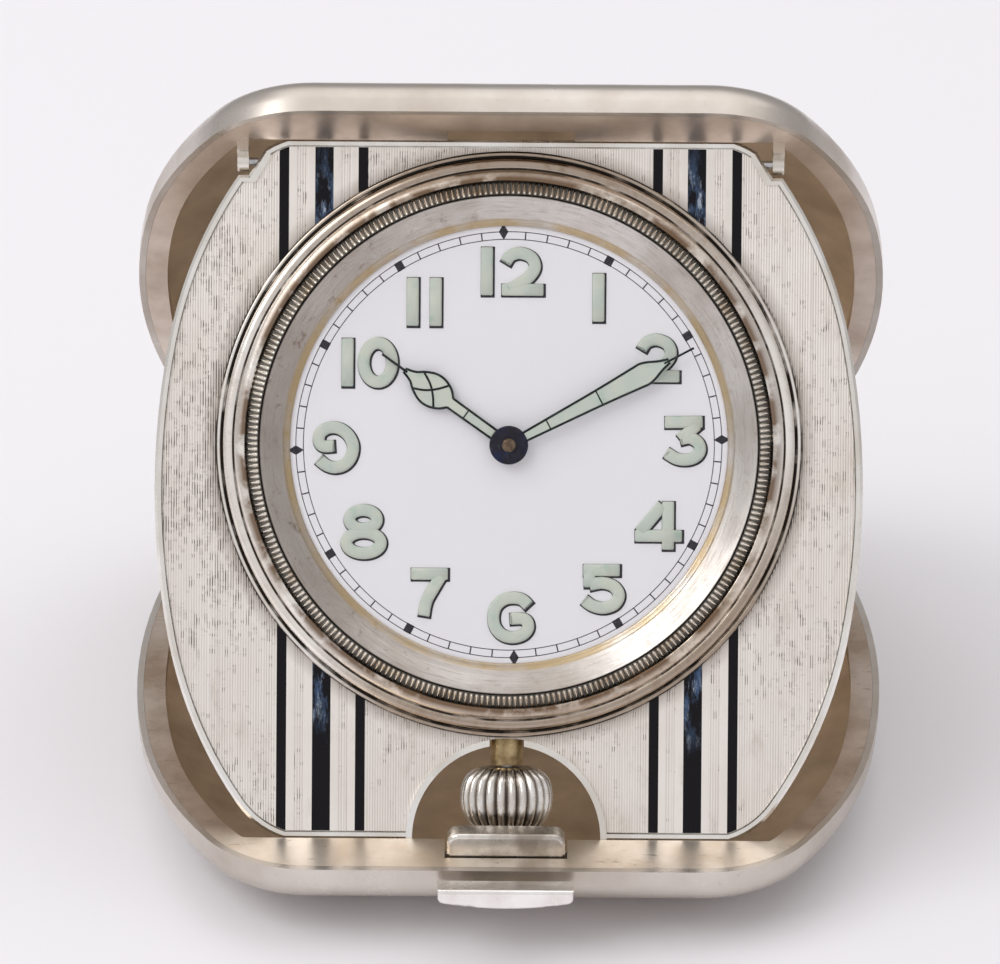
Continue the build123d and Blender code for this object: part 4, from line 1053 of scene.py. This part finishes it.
def plate_spans(x):
    """Stretches of a column of the plate, in the leaf's own height."""
    reach = min(leaf_half_length - plate_inset, cushion_height(x, leaf_inset + plate_inset))
    top, foot = reach, -reach
    if abs(x) > notch_foot[0]:
        top = min(top, notch_foot[1] - notch_border)
    elif abs(x) > notch_head[0]:
        share = (abs(x) - notch_head[0]) / (notch_foot[0] - notch_head[0])
        top = min(top, notch_head[1] + (notch_foot[1] - notch_head[1]) * share - notch_border)
    if abs(x) < arch_radius:
        foot = max(foot, arch_centre_y + math.sqrt(arch_radius ** 2 - x * x))
    if abs(x) < bezel_cover_radius:
        half = math.sqrt(bezel_cover_radius ** 2 - x * x)
        return [(foot, dial_offset - half), (dial_offset + half, top)]
    return [(foot, top)]


def line_height(x, plain):
    """Height of the engraved surface: fine lines, and flat bands between line groups."""
    phase = (x % line_pitch) / line_pitch
    groove = 0.5 - 0.5 * math.cos(2 * math.pi * phase)
    depth = line_depth * plain
    if (x % bright_pitch) / bright_pitch < flat_share:
        depth *= flat_depth
    return plate_top - depth * groove


def engraved_field(low_x, high_x, flat_margin):
    """Columns of the plate between two X places, in groups that each make one closed skin."""
    columns = max(int((high_x - low_x) / (line_pitch * column_share)), 4)
    groups = {}
    for step in range(columns + 1):
        x = low_x + (high_x - low_x) * step / columns
        plain = 0.0 if min(x - low_x, high_x - x) < flat_margin else 1.0
        spans = plate_spans(x)
        for index, (foot, top) in enumerate(spans):
            if top - foot > 0.05:
                key = (len(spans), index)
                groups.setdefault(key, []).append((x, foot, top, line_height(x, plain)))
    return [columns for columns in groups.values() if len(columns) > 1]


def front_engraving():
    parts = Parts()
    edges = list(stripe_edges) + [plate_half_width]
    edges = [-edge for edge in reversed(edges)] + edges
    for low_x, high_x in zip(edges[::2], edges[1::2]):
        margin = strip_margin if high_x - low_x < narrow_width else field_margin
        for columns in engraved_field(low_x, high_x, margin):
            rings = []
            for x, foot, top, height in columns:
                y0, y1 = foot - dial_offset, top - dial_offset
                rings.append([on_dial(x, y0, plate_foot), on_dial(x, y0, height),
                              on_dial(x, y1, height), on_dial(x, y1, plate_foot)])
            parts.ring_skin(rings)
    piece = parts.piece("engine_turning", plate_finish, "leaf", smooth=False)


covers()
bezel_piece()
coin_piece()
inner_ring_piece()
minute_track()
numerals()
minute_hand_piece()
hour_hand_piece()
hub_pieces()
crown_piece()
front_engraving()


# Floor, light and camera, in metres
floor_half = 1.5


def floor():
    mesh = bpy.data.meshes.new("floor")
    corners = [(-floor_half, -floor_half, 0), (floor_half, -floor_half, 0),
               (floor_half, floor_half, 0), (-floor_half, floor_half, 0)]
    mesh.from_pydata(corners, [], [(0, 1, 2, 3)])
    mesh.materials.append(Tree("floor_pale").finish(rgb(0.895, 0.88, 0.905), 0.0, 0.6))
    plane = add_object("floor", mesh)


def area_light(name, place, aim, size, power):
    light = bpy.data.lights.new(name, "AREA")
    light.shape = "RECTANGLE"
    light.size, light.size_y = size
    light.energy = power
    lamp = add_object(name, light)
    lamp.location = place
    lamp.rotation_euler = (Vector(aim) - Vector(place)).to_track_quat("-Z", "Y").to_euler()


# Soft surroundings: level at the horizon's sides, and how it rises along X, Y and Z
sky_level = 0.54
sky_slope = (-0.03, -0.19, 0.17)


def surroundings():
    world = bpy.data.worlds.new("studio")
    bpy.context.scene.world = world
    world.use_nodes = True
    tree = world.node_tree
    back = tree.nodes["Background"]
    back.inputs["Color"].default_value = rgb(0.98, 0.965, 0.98)
    way = tree.nodes.new("ShaderNodeTexCoord").outputs["Generated"]
    glow = tree.nodes.new("ShaderNodeVectorMath")
    glow.operation = "DOT_PRODUCT"
    glow.inputs[1].default_value = sky_slope
    tree.links.new(way, glow.inputs[0])
    total = tree.nodes.new("ShaderNodeMath")
    total.operation = "ADD"
    total.inputs[1].default_value = sky_level
    tree.links.new(glow.outputs["Value"], total.inputs[0])
    tree.links.new(total.outputs[0], back.inputs["Strength"])


# Camera as fitted to the photo: angles in degrees, distance and aim in millimetres
camera_azimuth, camera_elevation, camera_roll = -0.35, 29.7, -0.23
camera_distance = 460.0
camera_aim = Vector((-0.75, -14.0, 35.15))
focal_pixels = 5265.0
photo_width = 1000.0


def camera():
    azimuth, elevation = math.radians(camera_azimuth), math.radians(camera_elevation)
    roll = math.radians(camera_roll)
    forward = Vector((math.sin(azimuth) * math.cos(elevation),
                      math.cos(azimuth) * math.cos(elevation), -math.sin(elevation)))
    data = bpy.data.cameras.new("camera")
    data.sensor_width = 36.0
    data.lens = focal_pixels / photo_width * data.sensor_width
    data.clip_start, data.clip_end = 0.01, 10.0
    view = add_object("camera", data)
    view.location = MM * (camera_aim - camera_distance * forward)
    turn = forward.to_track_quat("-Z", "Y")
    view.rotation_mode = "QUATERNION"
    view.rotation_quaternion = turn @ Quaternion((0, 0, 1), -roll)
    bpy.context.scene.camera = view


floor()
surroundings()
area_light("key_left", (-0.55, -0.25, 0.75), (0, 0, 0.04), (0.7, 0.5), 2.8)
area_light("top", (0.1, 0.3, 0.9), (0, 0, 0.03), (1.3, 0.9), 2.6)
camera()
bpy.context.scene.view_settings.view_transform = "Standard"
